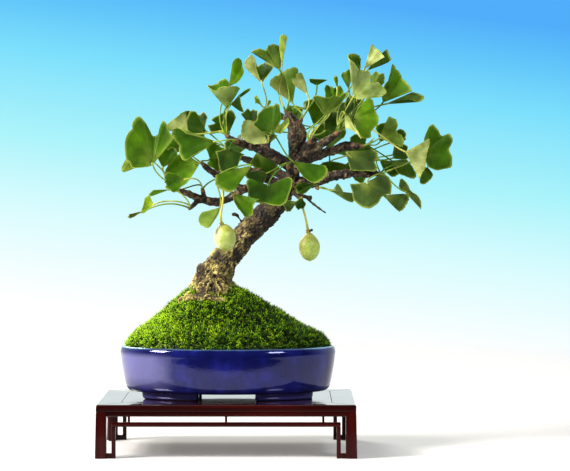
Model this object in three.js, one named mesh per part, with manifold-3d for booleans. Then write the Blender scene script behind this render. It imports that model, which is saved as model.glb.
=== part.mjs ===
// A small ginkgo bonsai in fruit: a leaning trunk on a moss mound, in a blue glazed oval pot,
// on a low lacquered display stand.
// Millimetres. +Z up, +X to the right of the front view, -Y towards the viewer. The tree is
// modelled about the pot's centre on the floor, and the whole is then moved so that the origin
// lies under the middle of its bounding box.
import * as THREE from "three";
import { mergeVertices } from "three/addons/utils/BufferGeometryUtils.js";
import Module from "manifold-3d";

// Driving dimensions.
const GAP = 0.3; // between pieces that fit into each other
const STAND = {
  width: 175.6,
  depth: 126,
  height: 36.3,
  frameWidth: 16, // of the four members round the panel
  frameThick: 5,
  edgeRound: 1.2,
  apronHigh: 3,
  apronThick: 6,
  post: 7.1, // square, at its top
  flare: 0.6, // each outer face leans out this much by the floor
  slot: 3.4,
  slat: 2.8, // thickness of the slats, stretchers and struts
  footHigh: 3.4,
  stretcherHigh: 3.1,
  stretcherBottom: 21.4,
  strutWide: 1.6,
  strutOut: 65.5, // of the outer struts, from the middle
};
const POT = {
  halfLength: 75,
  halfDepth: 48,
  rim: 72.3,
  footHigh: 4.9,
  wall: 4.4,
  floor: 5,
  footFrom: 20, // each foot runs between these distances from the middle
  footTo: 59.5,
  footInset: 10,
  footThick: 6.5,
  holeRadius: 5,
  holeOut: 32,
  facets: 24,
};
const SCREEN = { side: 18, thick: 0.8, holes: 3, bar: 1.6 };
const MOUND = { peakX: -12, height: 50, mossThick: 4.6, rimMoss: 3.2, facets: POT.facets, rings: 4 };
const LEAF = { thick: 0.8, rays: 6, smallRays: 4, smallTo: 13, largeFrom: 27, root: 0.06, stalkRadius: 0.6, stalkSteps: 3 };
const BUD = { radius: 1.5, high: 2.2 };

// Solids.
const wasm = await Module();
wasm.setup();

// A closed geometry as a solid that can be cut and joined.
function solidOf(geometry) {
  const loose = geometry.index ? geometry.toNonIndexed() : geometry;
  const bare = new THREE.BufferGeometry().setAttribute("position", loose.getAttribute("position"));
  const merged = mergeVertices(bare, 1e-4);
  return new wasm.Manifold(
    new wasm.Mesh({
      numProp: 3,
      vertProperties: new Float32Array(merged.attributes.position.array),
      triVerts: new Uint32Array(merged.index.array),
    }),
  );
}

function geometryOf(solid) {
  const mesh = solid.getMesh();
  return new THREE.BufferGeometry()
    .setAttribute("position", new THREE.BufferAttribute(new Float32Array(mesh.vertProperties), 3))
    .setIndex(new THREE.BufferAttribute(new Uint32Array(mesh.triVerts), 1));
}

// The largest body of a solid, without the scraps that a cut leaves.
function largest(solid) {
  return solid.decompose().reduce((a, b) => (b.volume() > a.volume() ? b : a));
}

// The solid without its sealed cavities.
function filled(solid) {
  return joined(solid.decompose().filter((body) => body.volume() > 0));
}

function joined(solids) {
  return solids.reduce((a, b) => a.add(b));
}

function part(name, solid, material) {
  const geometry = geometryOf(solid);
  geometry.computeVertexNormals();
  const mesh = new THREE.Mesh(geometry, material);
  mesh.name = name;
  return mesh;
}

// Rings of points, each ring the same length, skinned into a closed geometry with both ends capped.
function skin(rings) {
  const sides = rings[0].length;
  const positions = rings.flat().flatMap((p) => [p.x, p.y, p.z]);
  const index = [];
  for (let i = 0; i + 1 < rings.length; i++)
    for (let j = 0; j < sides; j++) {
      const a = i * sides + j;
      const b = i * sides + ((j + 1) % sides);
      index.push(a, b, b + sides, a, b + sides, a + sides);
    }
  const cap = (start, ring, flip) => {
    const middle = ring.reduce((sum, p) => sum.add(p), new THREE.Vector3()).divideScalar(sides);
    const centre = positions.push(middle.x, middle.y, middle.z) / 3 - 1;
    for (let j = 0; j < sides; j++) {
      const pair = [start + j, start + ((j + 1) % sides)];
      index.push(centre, ...(flip ? pair.reverse() : pair));
    }
  };
  cap(0, rings[0], true);
  cap((rings.length - 1) * sides, rings.at(-1), false);
  return new THREE.BufferGeometry()
    .setAttribute("position", new THREE.Float32BufferAttribute(positions, 3))
    .setIndex(index);
}

function box(x0, x1, y0, y1, z0, z1) {
  const geometry = new THREE.BoxGeometry(x1 - x0, y1 - y0, z1 - z0);
  return solidOf(geometry.translate((x0 + x1) / 2, (y0 + y1) / 2, (z0 + z1) / 2));
}

// An even pseudo-random number from 0 to 1 for each pair of whole numbers.
function chance(i, k) {
  const s = Math.sin(i * 12.9898 + k * 78.233) * 43758.5453;
  return s - Math.floor(s);
}

// Materials.
const finish = (color, roughness) => new THREE.MeshStandardMaterial({ color, roughness, metalness: 0 });
const lacquer = finish(0x4a1410, 0.22);
const glaze = finish(0x3c3f9c, 0.12);
const mesh = finish(0x2c2f2c, 0.7);
const earth = finish(0x4b3a28, 0.95);
const mossGreen = finish(0x5b9a1e, 0.95);
const bark = finish(0x6e5a41, 0.9);
const leafGreen = finish(0x5f8f2b, 0.5);
const fruitGreen = finish(0xb8cc66, 0.45);

// The display stand: a mitred frame round a panel, aprons under it, four openwork legs, and a
// thin stretcher on each side hung from the apron by struts.
function standPieces() {
  const { width, depth, height, frameWidth, frameThick, edgeRound, post, slat } = STAND;
  const halfW = width / 2;
  const halfD = depth / 2;
  const frameBottom = height - frameThick;
  const pieces = [];
  const add = (name, solid) => pieces.push(part(name, solid, lacquer));

  // One frame member along X, its outer face at y = -halfSpan, its top outer edge rounded.
  const member = (halfRun, halfSpan) => {
    const profile = new THREE.Shape();
    profile.moveTo(0, 0);
    profile.lineTo(frameWidth, 0);
    profile.lineTo(frameWidth, frameThick);
    profile.lineTo(edgeRound, frameThick);
    profile.absarc(edgeRound, frameThick - edgeRound, edgeRound, Math.PI / 2, Math.PI, false);
    const long = new THREE.ExtrudeGeometry(profile, { depth: 2 * halfRun, bevelEnabled: false, curveSegments: 3 });
    // The profile's x runs inwards along +Y, its y is up, and it is drawn out along +X.
    long.applyMatrix4(new THREE.Matrix4().set(0, 0, 1, -halfRun, 1, 0, 0, -halfSpan, 0, 1, 0, frameBottom, 0, 0, 0, 1));
    const mitre = new THREE.Shape();
    const back = frameWidth + 1;
    mitre.moveTo(-halfRun + GAP / 2 - 1, -halfSpan - 1);
    mitre.lineTo(halfRun - GAP / 2 + 1, -halfSpan - 1);
    mitre.lineTo(halfRun - GAP / 2 - back, -halfSpan + back);
    mitre.lineTo(-halfRun + GAP / 2 + back, -halfSpan + back);
    const wedge = new THREE.ExtrudeGeometry(mitre, { depth: height, bevelEnabled: false });
    return solidOf(long).intersect(solidOf(wedge));
  };
  add("stand_frame_front", member(halfW, halfD));
  add("stand_frame_back", member(halfW, halfD).rotate([0, 0, 180]));
  add("stand_frame_left", member(halfD, halfW).rotate([0, 0, -90]));
  add("stand_frame_right", member(halfD, halfW).rotate([0, 0, 90]));
  const panelX = halfW - frameWidth - GAP;
  const panelY = halfD - frameWidth - GAP;
  add("stand_panel", box(-panelX, panelX, -panelY, panelY, frameBottom + 1, height));

  // A leg in the corner x < 0, y < 0. Its foot runs out along both sides to a thin slat.
  const leg = () => {
    const corner = (z, out) => {
      const x = -halfW - out;
      const y = -halfD - out;
      const inX = -halfW + post;
      const inY = -halfD + post;
      return [[x, y], [inX, y], [inX, inY], [x, inY]].map(([px, py]) => new THREE.Vector3(px, py, z));
    };
    const shaft = solidOf(skin([corner(0, STAND.flare), corner(frameBottom, 0)]));
    const reach = post + STAND.slot + slat;
    const inset = 0.8; // the slats stand back from the post's face
    const arm = (along) => {
      const foot = box(0, reach, inset, inset + slat + 1, 0, STAND.footHigh);
      const upright = box(reach - slat, reach, inset, inset + slat, 0, STAND.stretcherBottom);
      const both = foot.add(upright);
      return along === "x" ? both : both.mirror([1, -1, 0]);
    };
    const arms = arm("x").add(arm("y")).translate([-halfW, -halfD, 0]);
    return shaft.add(arms);
  };
  const flipX = (solid) => solid.mirror([1, 0, 0]);
  const flipY = (solid) => solid.mirror([0, 1, 0]);
  add("stand_leg_front_left", leg());
  add("stand_leg_front_right", flipX(leg()));
  add("stand_leg_back_left", flipY(leg()));
  add("stand_leg_back_right", flipX(flipY(leg())));

  // Aprons, stretchers and struts of one side, along X, with the outer face at y = -halfSpan.
  const side = (halfRun, halfSpan, strutPlaces) => {
    const face = -halfSpan + 0.5;
    const slatFace = -halfSpan + 0.8;
    const apronBottom = frameBottom - STAND.apronHigh;
    const end = halfRun - post;
    const run = end - STAND.slot;
    const stretcherTop = STAND.stretcherBottom + STAND.stretcherHigh;
    const middle = strutPlaces.map((x) =>
      box(x - STAND.strutWide / 2, x + STAND.strutWide / 2, slatFace, slatFace + slat, stretcherTop, apronBottom),
    );
    return {
      apron: box(-end, end, face, face + STAND.apronThick, apronBottom, frameBottom),
      stretcher: box(-run, run, slatFace, slatFace + slat, STAND.stretcherBottom, stretcherTop),
      struts: middle,
    };
  };
  const turned = { front: 0, right: 90, back: 180, left: -90 };
  for (const [where, angle] of Object.entries(turned)) {
    const long = where === "front" || where === "back";
    const made = long ? side(halfW, halfD, [-STAND.strutOut, 0, STAND.strutOut]) : side(halfD, halfW, [0]);
    const turn = (solid) => solid.rotate([0, 0, angle]);
    add(`stand_apron_${where}`, turn(made.apron));
    add(`stand_stretcher_${where}`, turn(made.stretcher));
    made.struts.forEach((strut, i) => add(`stand_strut_${where}_${i + 1}`, turn(strut)));
  }
  return pieces;
}

// A closed oval body: each [inset, z] is an ellipse that much smaller than the pot's rim line.
function ovalSolid(profile, halfLength, halfDepth, facets = POT.facets) {
  const rings = profile.map(([inset, z]) =>
    Array.from({ length: facets }, (_, j) => {
      const turn = (2 * Math.PI * j) / facets;
      return new THREE.Vector3((halfLength - inset) * Math.cos(turn), (halfDepth - inset) * Math.sin(turn), z);
    }),
  );
  return solidOf(skin(rings));
}

const potBottom = STAND.height + POT.footHigh;

// Inset of the pot's outer wall at a height: nearly upright, and tucked in towards the base.
function wallInset(z) {
  const down = (POT.rim - z) / (POT.rim - potBottom);
  return 5.2 * down ** 2.4;
}

// The pot: one piece of glazed stoneware with a rounded rim, four curved feet and two drain holes.
function potPiece() {
  const { halfLength, halfDepth, rim, wall, floor } = POT;
  const outer = [
    [9.5, potBottom],
    [6.8, potBottom + 0.5],
    [wallInset(potBottom + 2.4) + 0.5, potBottom + 2.4],
    ...[6, 12, 19].map((up) => [wallInset(potBottom + up), potBottom + up]),
    [0.1, rim - 3],
    [0, rim - 1.6],
    [0.7, rim - 0.4],
    [1.9, rim],
  ];
  const inner = [
    [wall + 11, potBottom + floor],
    [wall + 7.5, potBottom + floor + 1.5],
    [wall + 3.4, potBottom + floor + 7],
    [wall, rim - 8],
    [wall - 0.4, rim - 1.4],
    [wall - 1.6, rim + 0.01],
    [wall - 1.6, rim + 2],
  ];
  const bowl = ovalSolid(outer, halfLength, halfDepth).subtract(ovalSolid(inner, halfLength, halfDepth));
  const footTop = potBottom + 1.4;
  const band = (inset) => [
    [inset + 1.2, STAND.height],
    [inset, STAND.height + 1.4],
    [inset - 0.6, footTop],
  ];
  const ring = ovalSolid(band(POT.footInset), halfLength, halfDepth).subtract(
    ovalSolid([[POT.footInset + POT.footThick, 0], [POT.footInset + POT.footThick, rim]], halfLength, halfDepth),
  );
  const feet = [-1, 1].map((way) => {
    const ends = [POT.footFrom * way, POT.footTo * way].sort((a, b) => a - b);
    return ring.intersect(box(ends[0], ends[1], -halfDepth, halfDepth, 0, rim));
  });
  const drill = (x) =>
    solidOf(new THREE.CylinderGeometry(POT.holeRadius, POT.holeRadius, 20, 16).rotateX(Math.PI / 2)).translate([
      x,
      0,
      potBottom,
    ]);
  const body = joined([bowl, ...feet]).subtract(drill(-POT.holeOut)).subtract(drill(POT.holeOut));
  return part("pot", body, glaze);
}

// A square plastic net that keeps the soil in over a drain hole.
function screenSolid(x, grow = 0) {
  const half = SCREEN.side / 2 + grow;
  const bottom = potBottom + POT.floor + GAP - grow;
  const plate = box(x - half, x + half, -half, half, bottom, bottom + SCREEN.thick + 2 * grow);
  if (grow) return plate;
  const pitch = SCREEN.side / SCREEN.holes;
  const hole = pitch - SCREEN.bar;
  const holes = [];
  for (let i = 0; i < SCREEN.holes; i++)
    for (let j = 0; j < SCREEN.holes; j++) {
      const cx = x - half + (i + 0.5) * pitch;
      const cy = -half + (j + 0.5) * pitch;
      holes.push(box(cx - hole / 2, cx + hole / 2, cy - hole / 2, cy + hole / 2, bottom - 1, bottom + 3));
    }
  return plate.subtract(joined(holes));
}

// A point of the mound: share 0 is the peak under the trunk and 1 is the pot's inner wall.
function moundPoint(share, turn, lower, inset) {
  const rimX = (POT.halfLength - POT.wall - inset) * Math.cos(turn);
  const rimY = (POT.halfDepth - POT.wall - inset) * Math.sin(turn);
  const rise = MOUND.height * Math.max(0, 1 - share) ** 0.8;
  const cushions = 0.9 * Math.sin(3 * turn + 9 * share) * Math.sin(2 * Math.PI * share) * (1 - share);
  return new THREE.Vector3(
    MOUND.peakX * (1 - share) + rimX * share,
    rimY * share,
    POT.rim - 0.6 + rise + cushions - lower,
  );
}

// Soil or moss: the mound's surface, lowered and inset as asked, closed below by rings going down.
function moundSolid(lower, inset, below) {
  const { facets, rings } = MOUND;
  const shares = Array.from({ length: rings }, (_, i) => 1 - (i / rings) ** 1.0 * 0.97);
  const ringAt = (share) =>
    Array.from({ length: facets }, (_, j) => moundPoint(share, (2 * Math.PI * j) / facets, lower, inset));
  return solidOf(skin([...below, ...shares.map(ringAt)]));
}

function ovalRing(inset, z) {
  return Array.from({ length: MOUND.facets }, (_, j) => {
    const turn = (2 * Math.PI * j) / MOUND.facets;
    return new THREE.Vector3(
      (POT.halfLength - inset) * Math.cos(turn),
      (POT.halfDepth - inset) * Math.sin(turn),
      z,
    );
  });
}

// Limbs of the tree: [x, y, z, radius] from the root end to the tip.
const TRUNK = [
  [-11, 2, 90, 14], [-11, 1, 99, 16.4], [-11, 0, 106, 17], [-10.5, 0, 112, 15.6], [-10, 0, 118, 14.2],
  [-8.8, 0, 124.5, 13], [-5.6, 0, 131, 11.2], [0, 0, 138.5, 9.6], [6.5, 0, 146, 8.7], [13.8, 0, 154, 8.1],
  [21.5, 0, 161.2, 7.8], [28.5, 0, 168, 7.4], [35, 0, 175, 6.9], [41, 0, 182.5, 6.2], [45, 1, 190, 5.6],
  [47, 2, 199, 5.2], [48.3, 2, 208.5, 5.2], [47.6, 1, 218, 5], [44.3, 0, 227, 3.6], [41, 0, 233, 2.3],
];
const ROOTS = [
  [[-14, -4, 110, 7], [-22, -6, 109.4, 4.6], [-29, -8, 104, 3.6], [-36, -11, 92, 2.6], [-42, -14, 80, 1.6]],
  [[-16, 4, 107, 7], [-27, 9, 103, 4.8], [-35, 14, 94, 3.4], [-42, 18, 84, 2]],
  [[-8, -6, 106, 7], [-6, -15, 99, 4.6], [-3, -22, 88, 3], [0, -28, 79, 2]],
  [[-4, 0, 108, 7], [6, 3, 104, 5], [17, 6, 93, 3.4], [26, 9, 83, 2]],
  [[-10, 6, 108, 7], [-12, 16, 102, 4.4], [-14, 25, 91, 3], [-16, 31, 82, 2]],
];
const BRANCHES = {
  leftUpper: [[46, 1, 195, 4.2], [38, -1, 201, 3.9], [30, -3, 205.5, 3.6], [22, -5, 209, 3.3], [13, -7, 212, 2.9],
    [6, -8, 214, 2.3], [0.5, -7, 217.6, 1.7]],
  leftMiddle: [[40, 2, 182, 3.6], [30, 8, 187, 3.2], [19, 13, 193, 2.9], [8, 14, 193.5, 2.6], [-3, 12, 190.5, 2.4],
    [-11, 9, 193, 2.3], [-17, 7, 198, 1.9]],
  leftLower: [[34, 3, 173, 3.4], [23, 9, 180, 3.1], [13, 11, 182, 2.9], [5, 10, 177, 2.8], [-4, 8, 172.8, 2.7],
    [-12, 7, 172.5, 2.9], [-20, 6, 174.3, 2.6], [-27, 5, 177.5, 2.2], [-34, 4, 180, 1.7]],
  frontLeft: [[36, -3, 177, 3], [28, -12, 178.5, 2.6], [16, -19, 181, 2.3], [6, -24, 183.5, 2], [-3, -27, 185.5, 1.6]],
  rightLower: [[42, 0, 183, 4.8], [52, -1, 184.5, 4], [62.5, -2, 186.8, 3.6], [73, -3, 190.2, 3.3],
    [86, -4, 192.3, 3.1], [97, -5, 192.4, 2.9], [104.5, -6, 191.6, 2.2]],
  rightUpper: [[47, 1, 197, 4.4], [53, 1, 200.5, 4], [61, 0, 204.4, 3.5], [72.5, -2, 207.8, 3.2], [83, -4, 211.4, 2.9],
    [91.5, -5, 210.8, 2.1]],
  rightKnob: [[50, 0, 202, 3.6], [57, -4, 207.5, 3.4], [64, -7, 212, 3.1], [72, -9, 217, 2.3]],
  backTop: [[47, 2, 203, 3.6], [54, 15, 210, 3], [60, 29, 216, 2.5], [64, 40, 221, 1.8]],
  backLeft: [[43, 3, 187, 3.8], [32, 18, 194, 3.1], [17, 33, 200, 2.6], [4, 44, 205, 1.8]],
  backRight: [[49, 1, 186, 3.6], [64, 15, 189, 3.1], [80, 30, 193, 2.6], [92, 40, 197, 1.8]],
};

// Short spur shoots: where each leaves the wood, its tip, and the leaves that it bears.
// A leaf is [x, y, z of the blade's foot, heading, lean, roll, size, half spread, wrap, notch].
// Heading is the midrib's direction in the front view, 0 to the right and 90 up; lean tips it
// towards the viewer; roll turns the blade about its midrib, 0 with its upper face to the viewer.
// Wrap is how much further than flat the fan is curled into a cone, and notch how deep its
// middle cut goes as a share of its size.
const SPURS = {
  left_low: {
    from: [-20, 6, 174], tip: [-25.6, 1, 168.6],
    leaves: [
      [-51, -5, 171, 196, 12, 30, 11, 38, 14, 0.05],
      [-37, -4, 181, 188, 4, 76, 19, 14, 6, 0],
      [-58.5, -6, 166, 176, 6, 50, 11.5, 16, 8, 0],
    ],
  },
  left_knob: {
    from: [-16.5, 6, 174], tip: [-17.6, 4, 179.8],
    leaves: [
      [-29, -11, 188, 195, 14, 8, 15.5, 38, 16, 0.1],
      [-40, 15, 182, 96, 0, 72, 18.5, 16, 6, 0],
      [-13, 16, 188, 150, -14, 0, 10, 46, 8, 0.1],
    ],
  },
  left_end: {
    from: [-27, 5, 177.5], tip: [-34.4, 4, 180.2],
    leaves: [
      [-53, -8, 198, 92, 12, 0, 34, 62, 6, 0.4],
      [-65, -4, 204, 228, 0, 172, 13, 22, 8, 0.1],
      [-46, 9, 196, 74, 2, 12, 16, 44, 10, 0.15],
    ],
  },
  left_middle: {
    from: [-11, 9, 193], tip: [-17.4, 7, 198.4],
    leaves: [
      [-20, -2, 199, 186, 12, 4, 24, 32, 8, 0.2],
      [-13, 16, 202, 62, -12, 10, 13, 48, 10, 0.1],
      [-28, 14, 207, 136, -2, -6, 22, 46, 10, 0.25],
    ],
  },
  left_upper_bud: {
    from: [9, -8, 213], tip: [6.6, -12, 213.8],
    leaves: [
      [-8, -17, 216, 187, 8, -12, 32, 28, 10, 0.12],
      [1, -20, 212, 270, 16, 0, 20, 42, 10, 0.12],
    ],
  },
  left_upper_end: {
    from: [6, -8, 214], tip: [0.3, -7, 217.8],
    leaves: [
      [-18, -9, 221, 128, 6, 0, 17, 48, 10, 0.22],
      [-27, -7, 221, 152, 0, 175, 16.5, 26, 14, 0.3],
      [1, -11, 221, 125, 4, 0, 18, 40, 12, 0.15],
      [0, -4, 238, 92, 36, 180, 20, 62, 42, 0.1],
      [2, -4, 238.5, 45, 0, 84, 18, 18, 6, 0],
      [1.5, -8, 239.5, 0, 2, 0, 10.5, 26, 8, 0],
      [0.5, 4, 252.5, 76, 2, 8, 20, 20, 6, 0.06],
    ],
  },
  middle_spur: {
    from: [27, -3, 207], tip: [28.5, -3, 215.5],
    leaves: [
      [27, -14, 213, 148, 5, 176, 21.5, 36, 8, 0.06],
      [30, -17, 219.5, 100, 8, 0, 21.5, 44, 8, 0.08],
      [32, -13, 220.5, 25, 6, 174, 12.5, 26, 8, 0],
      [17, -7, 224, 98, -4, 0, 13, 40, 8, 0.1],
      [47, -16, 198, 337, 20, -4, 21.5, 27, 6, 0.05],
    ],
  },
  middle_twig: {
    from: [24.5, 4, 221], tip: [25.3, 6, 235.8],
    leaves: [
      [23, -2, 255, 92, -26, 0, 19, 60, 42, 0.12],
      [24, 5, 238.5, 127, 0, 60, 9, 16, 8, 0],
      [27, 6, 237.5, 70, 0, 20, 6, 18, 8, 0],
    ],
  },
  top: {
    from: [44.3, 0, 227], tip: [40.8, 0, 234],
    leaves: [
      [36, 6, 264.5, 118, 2, 176, 24, 38, 10, 0.36],
      [38.2, 7, 266, 84, -4, 150, 23, 12, 10, 0],
      [28, 16, 243, 110, -16, 8, 16, 50, 12, 0.2],
    ],
  },
  top_right: {
    from: [47.6, 1, 219], tip: [50.6, 0, 228.4],
    leaves: [
      [43.5, -6, 241, 109, 0, 176, 26, 34, 34, 0.06],
      [56.5, -2, 246, 122, 4, 176, 17, 20, 12, 0],
      [62, 12, 248, 82, -10, 40, 10.5, 44, 10, 0.1],
    ],
  },
  front_bud: {
    from: [56, -4, 207], tip: [56.6, -10, 213.6],
    leaves: [
      [67, -12, 232, 95, 32, 180, 22.5, 60, 40, 0.1],
      [67, 6, 221, 50, -10, 4, 17, 42, 10, 0.1],
      [76, -2, 251, 98, 0, 40, 9, 16, 8, 0.3],
      [72, 2, 236, 84, -8, 0, 18, 40, 12, 0.15],
    ],
  },
  right_knob: {
    from: [70, -8.6, 215.6], tip: [74.6, -9.6, 219.4],
    leaves: [
      [86, -15, 244, 50, 8, 174, 28.5, 44, 8, 0.3],
      [87, -21, 229, 8, 12, 6, 18.5, 66, 10, 0.1],
      [81, -24, 235.5, 302, 8, 60, 21, 17, 12, 0],
      [122, -17, 207.5, 341, 6, 174, 20.5, 42, 6, 0.03],
      [88, -11, 260, 84, 0, 10, 14, 22, 8, 0.05],
    ],
  },
  right_high: {
    from: [72, -9, 216], tip: [77, -3, 221],
    leaves: [
      [95, -6, 264, 54, 4, 174, 19.5, 24, 14, 0.04],
      [101, -4, 266, 38, 0, 0, 15, 20, 8, 0.25],
      [107, -6, 241, 50, 6, 0, 28, 27, 10, 0.1],
      [112, -9, 242.5, 5, 4, 176, 24, 11, 8, 0],
      [99, 4, 250, 58, -8, 174, 15, 36, 10, 0.1],
      [82, -3, 232, 62, 0, 0, 12.5, 32, 8, 0.1],
      [84, 2, 251, 100, -4, 170, 13, 26, 10, 0.1],
    ],
  },
  right_upper: {
    from: [83, -4, 211.4], tip: [92, -5, 210.9],
    leaves: [
      [104, 1, 217, 25, -6, 176, 18.5, 52, 8, 0.15],
      [112, 5, 202, 332, -4, 0, 19, 30, 8, 0.1],
      [99, 9, 215, 44, -6, 8, 17, 50, 10, 0.2],
    ],
  },
  right_low: {
    from: [97, -5, 192.4], tip: [105, -6, 191.8],
    leaves: [
      [98, -14, 190, 272, 16, 172, 22, 50, 8, 0.12],
      [108, -1, 178.5, 335, -2, 174, 18.5, 36, 8, 0.15],
      [121, -4, 188, 304, 4, 108, 24, 15, 6, 0],
      [136, -7, 205, 16, 6, 0, 21.5, 64, 6, 0.14],
      [134, -3, 197, 302, 4, 0, 12.5, 36, 8, 0.05],
      [106, 10, 201, 314, -8, 0, 16, 34, 8, 0.1],
    ],
  },
  right_middle: {
    from: [86, -4, 192.4], tip: [86.6, -9, 197],
    leaves: [
      [82, -12, 207, 333, 12, 174, 23, 36, 6, 0.1],
      [86, 4, 198.5, 184, -8, 0, 19, 16, 6, 0],
    ],
  },
  right_under: {
    from: [61, -3, 185], tip: [62, -8, 182.4],
    leaves: [
      [73.5, -5, 181.5, 335, 2, 174, 15.5, 28, 8, 0.1],
      [74, -6, 181.5, 50, 4, 176, 7, 30, 6, 0],
      [61, -10, 185, 200, 2, 0, 15, 24, 6, 0.05],
    ],
  },
  fruit_right_spur: {
    from: [45, -3, 180], tip: [50.5, -11.5, 174.6],
    leaves: [
      [47.5, -14, 172.5, 208, 10, 174, 9.5, 42, 8, 0.05],
      [51, -15, 176, 262, 4, 0, 9, 34, 8, 0.05],
    ],
  },
  front_low: {
    from: [6, -24, 183.5], tip: [-3.2, -27.2, 185.8],
    leaves: [
      [-5, -36, 169.5, 212, 12, 174, 17, 36, 10, 0.1],
      [11, -37, 197, 219, 16, 0, 24, 38, 8, 0.08],
      [4, -38, 179, 312, 16, 12, 17, 44, 18, 0.12],
    ],
  },
  front_trunk: {
    from: [44, -3, 192], tip: [42, -9, 196.4],
    leaves: [
      [29, -28, 185.5, 268, 30, 0, 18, 86, 4, 0.14],
      [28, 2, 192, 202, -6, 0, 14.5, 36, 8, 0.1],
    ],
  },
  back_top_middle: {
    from: [54, 15, 210], tip: [49, 20, 217],
    leaves: [
      [60, 25, 226, 66, -12, 0, 20, 50, 10, 0.2],
      [43, 27, 231, 106, -12, 0, 20, 50, 10, 0.25],
      [34, 24, 222, 146, -10, 20, 18, 50, 10, 0.15],
    ],
  },
  back_left_middle: {
    from: [32, 18, 194], tip: [30, 23, 200],
    leaves: [
      [20, 12, 207, 4, 0, 0, 23, 26, 8, 0.1],
      [14, 27, 211, 150, -10, 30, 20, 54, 10, 0.2],
      [27, 38, 212, 112, -40, 30, 19, 54, 10, 0.2],
    ],
  },
  back_right_middle: {
    from: [64, 15, 189], tip: [70, 19, 196],
    leaves: [
      [84, 16, 205, 32, -8, 0, 18, 50, 10, 0.2],
      [71, 23, 209, 92, -16, 0, 20, 52, 10, 0.2],
      [82, 30, 198, 340, -26, -30, 19, 54, 10, 0.2],
    ],
  },
};

// Spurs far behind the tree, whose leaves follow a rule in place of a list.
const BACK_SPURS = {
  back_top: { from: [60, 29, 216], tip: [64.4, 40.6, 221.4], leaves: 5 },
  back_left: { from: [17, 33, 200], tip: [3.6, 44.4, 205.2], leaves: 5 },
  back_right: { from: [80, 30, 193], tip: [92.4, 40.4, 197.2], leaves: 5 },
};

const vector = (p) => new THREE.Vector3(p[0], p[1], p[2]);

// Leaves of a back spur: spread round the spur, leaning away from the tree's middle.
function ruledLeaves(spur, seed) {
  const tip = vector(spur.tip);
  const middle = new THREE.Vector3(47, 0, 205);
  const away = tip.clone().sub(middle).setZ(0).normalize();
  return Array.from({ length: spur.leaves }, (_, i) => {
    const turn = ((i + 0.5) / spur.leaves - 0.5) * 3.4 + 0.5 * (chance(seed, i) - 0.5);
    const out = away.clone().applyAxisAngle(new THREE.Vector3(0, 0, 1), turn);
    const reach = 16 + 14 * chance(seed, i + 10);
    const climb = 4 + 16 * chance(seed, i + 20);
    const foot = tip.clone().addScaledVector(out, reach).add(new THREE.Vector3(0, 0, climb));
    const rise = 12 + 30 * chance(seed, i + 30);
    const level = Math.cos((rise * Math.PI) / 180);
    const heading = (Math.atan2(Math.sin((rise * Math.PI) / 180), out.x * level) * 180) / Math.PI;
    const lean = (Math.asin(-out.y * level) * 180) / Math.PI;
    const size = 17 + 7 * chance(seed, i + 40);
    const notch = 0.1 + 0.25 * chance(seed, i + 50);
    return [foot.x, foot.y, foot.z, heading, lean, 35 * (out.x > 0 ? -1 : 1), size, 54, 10, notch];
  });
}

// A limb carried along a smooth curve through its points, with a knobbly bark. Grow widens and
// lengthens it, for the hole that it stands in.
function limb(points, sides, steps, grow = 0, knob = 0.06) {
  const curve = new THREE.CatmullRomCurve3(points.map(vector), false, "centripetal");
  const radius = (t) => {
    const at = t * (points.length - 1);
    const i = Math.min(Math.floor(at), points.length - 2);
    return THREE.MathUtils.lerp(points[i][3], points[i + 1][3], at - i) + grow;
  };
  const frames = curve.computeFrenetFrames(steps, false);
  const rings = Array.from({ length: steps + 1 }, (_, i) => {
    const t = curve.getUtoTmapping(i / steps);
    const beyond = i === 0 ? -grow : i === steps ? grow : 0;
    const centre = curve.getPoint(t).addScaledVector(frames.tangents[i], beyond);
    return Array.from({ length: sides }, (_, j) => {
      const turn = (2 * Math.PI * j) / sides;
      const bump = 1 + knob * Math.sin(3 * turn + 2.1 * i) + knob * Math.sin(5 * turn - 1.7 * i);
      return centre
        .clone()
        .addScaledVector(frames.normals[i], radius(t) * bump * Math.cos(turn))
        .addScaledVector(frames.binormals[i], radius(t) * bump * Math.sin(turn));
    });
  });
  return solidOf(skin(rings));
}

function trunkFoot(grow) {
  const foot = limb(TRUNK, 10, 22, grow);
  return joined([foot, ...ROOTS.map((root) => limb(root, 5, 3, grow))]);
}

// Trunk, roots, branches and spurs: one living piece of wood.
function woodSolid() {
  const limbs = [limb(TRUNK, 10, 22), ...ROOTS.map((root) => limb(root, 5, 3))];
  for (const branch of Object.values(BRANCHES)) limbs.push(limb(branch, 6, branch.length, 0, 0.09));
  for (const spur of [...Object.values(SPURS), ...Object.values(BACK_SPURS)])
    limbs.push(limb([[...spur.from, 1.9], [...spur.tip, 1.55]], 4, 1, 0, 0.05));
  limbs.push(limb([[24, -4, 208, 2], [24.5, 4, 221, 1.7]], 6, 3)); // the twig under middle_twig
  limbs.push(limb([[46, -3, 181, 1.8], [54.5, -6, 175.4, 1.4], [58.6, -6, 175.4, 1.5]], 5, 3));
  limbs.push(limb([[54, -6, 175.4, 0.9], [61, -7, 169.6, 0.8], [68, -8, 164.6, 0.7]], 4, 2));
  return joined(limbs);
}

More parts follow.
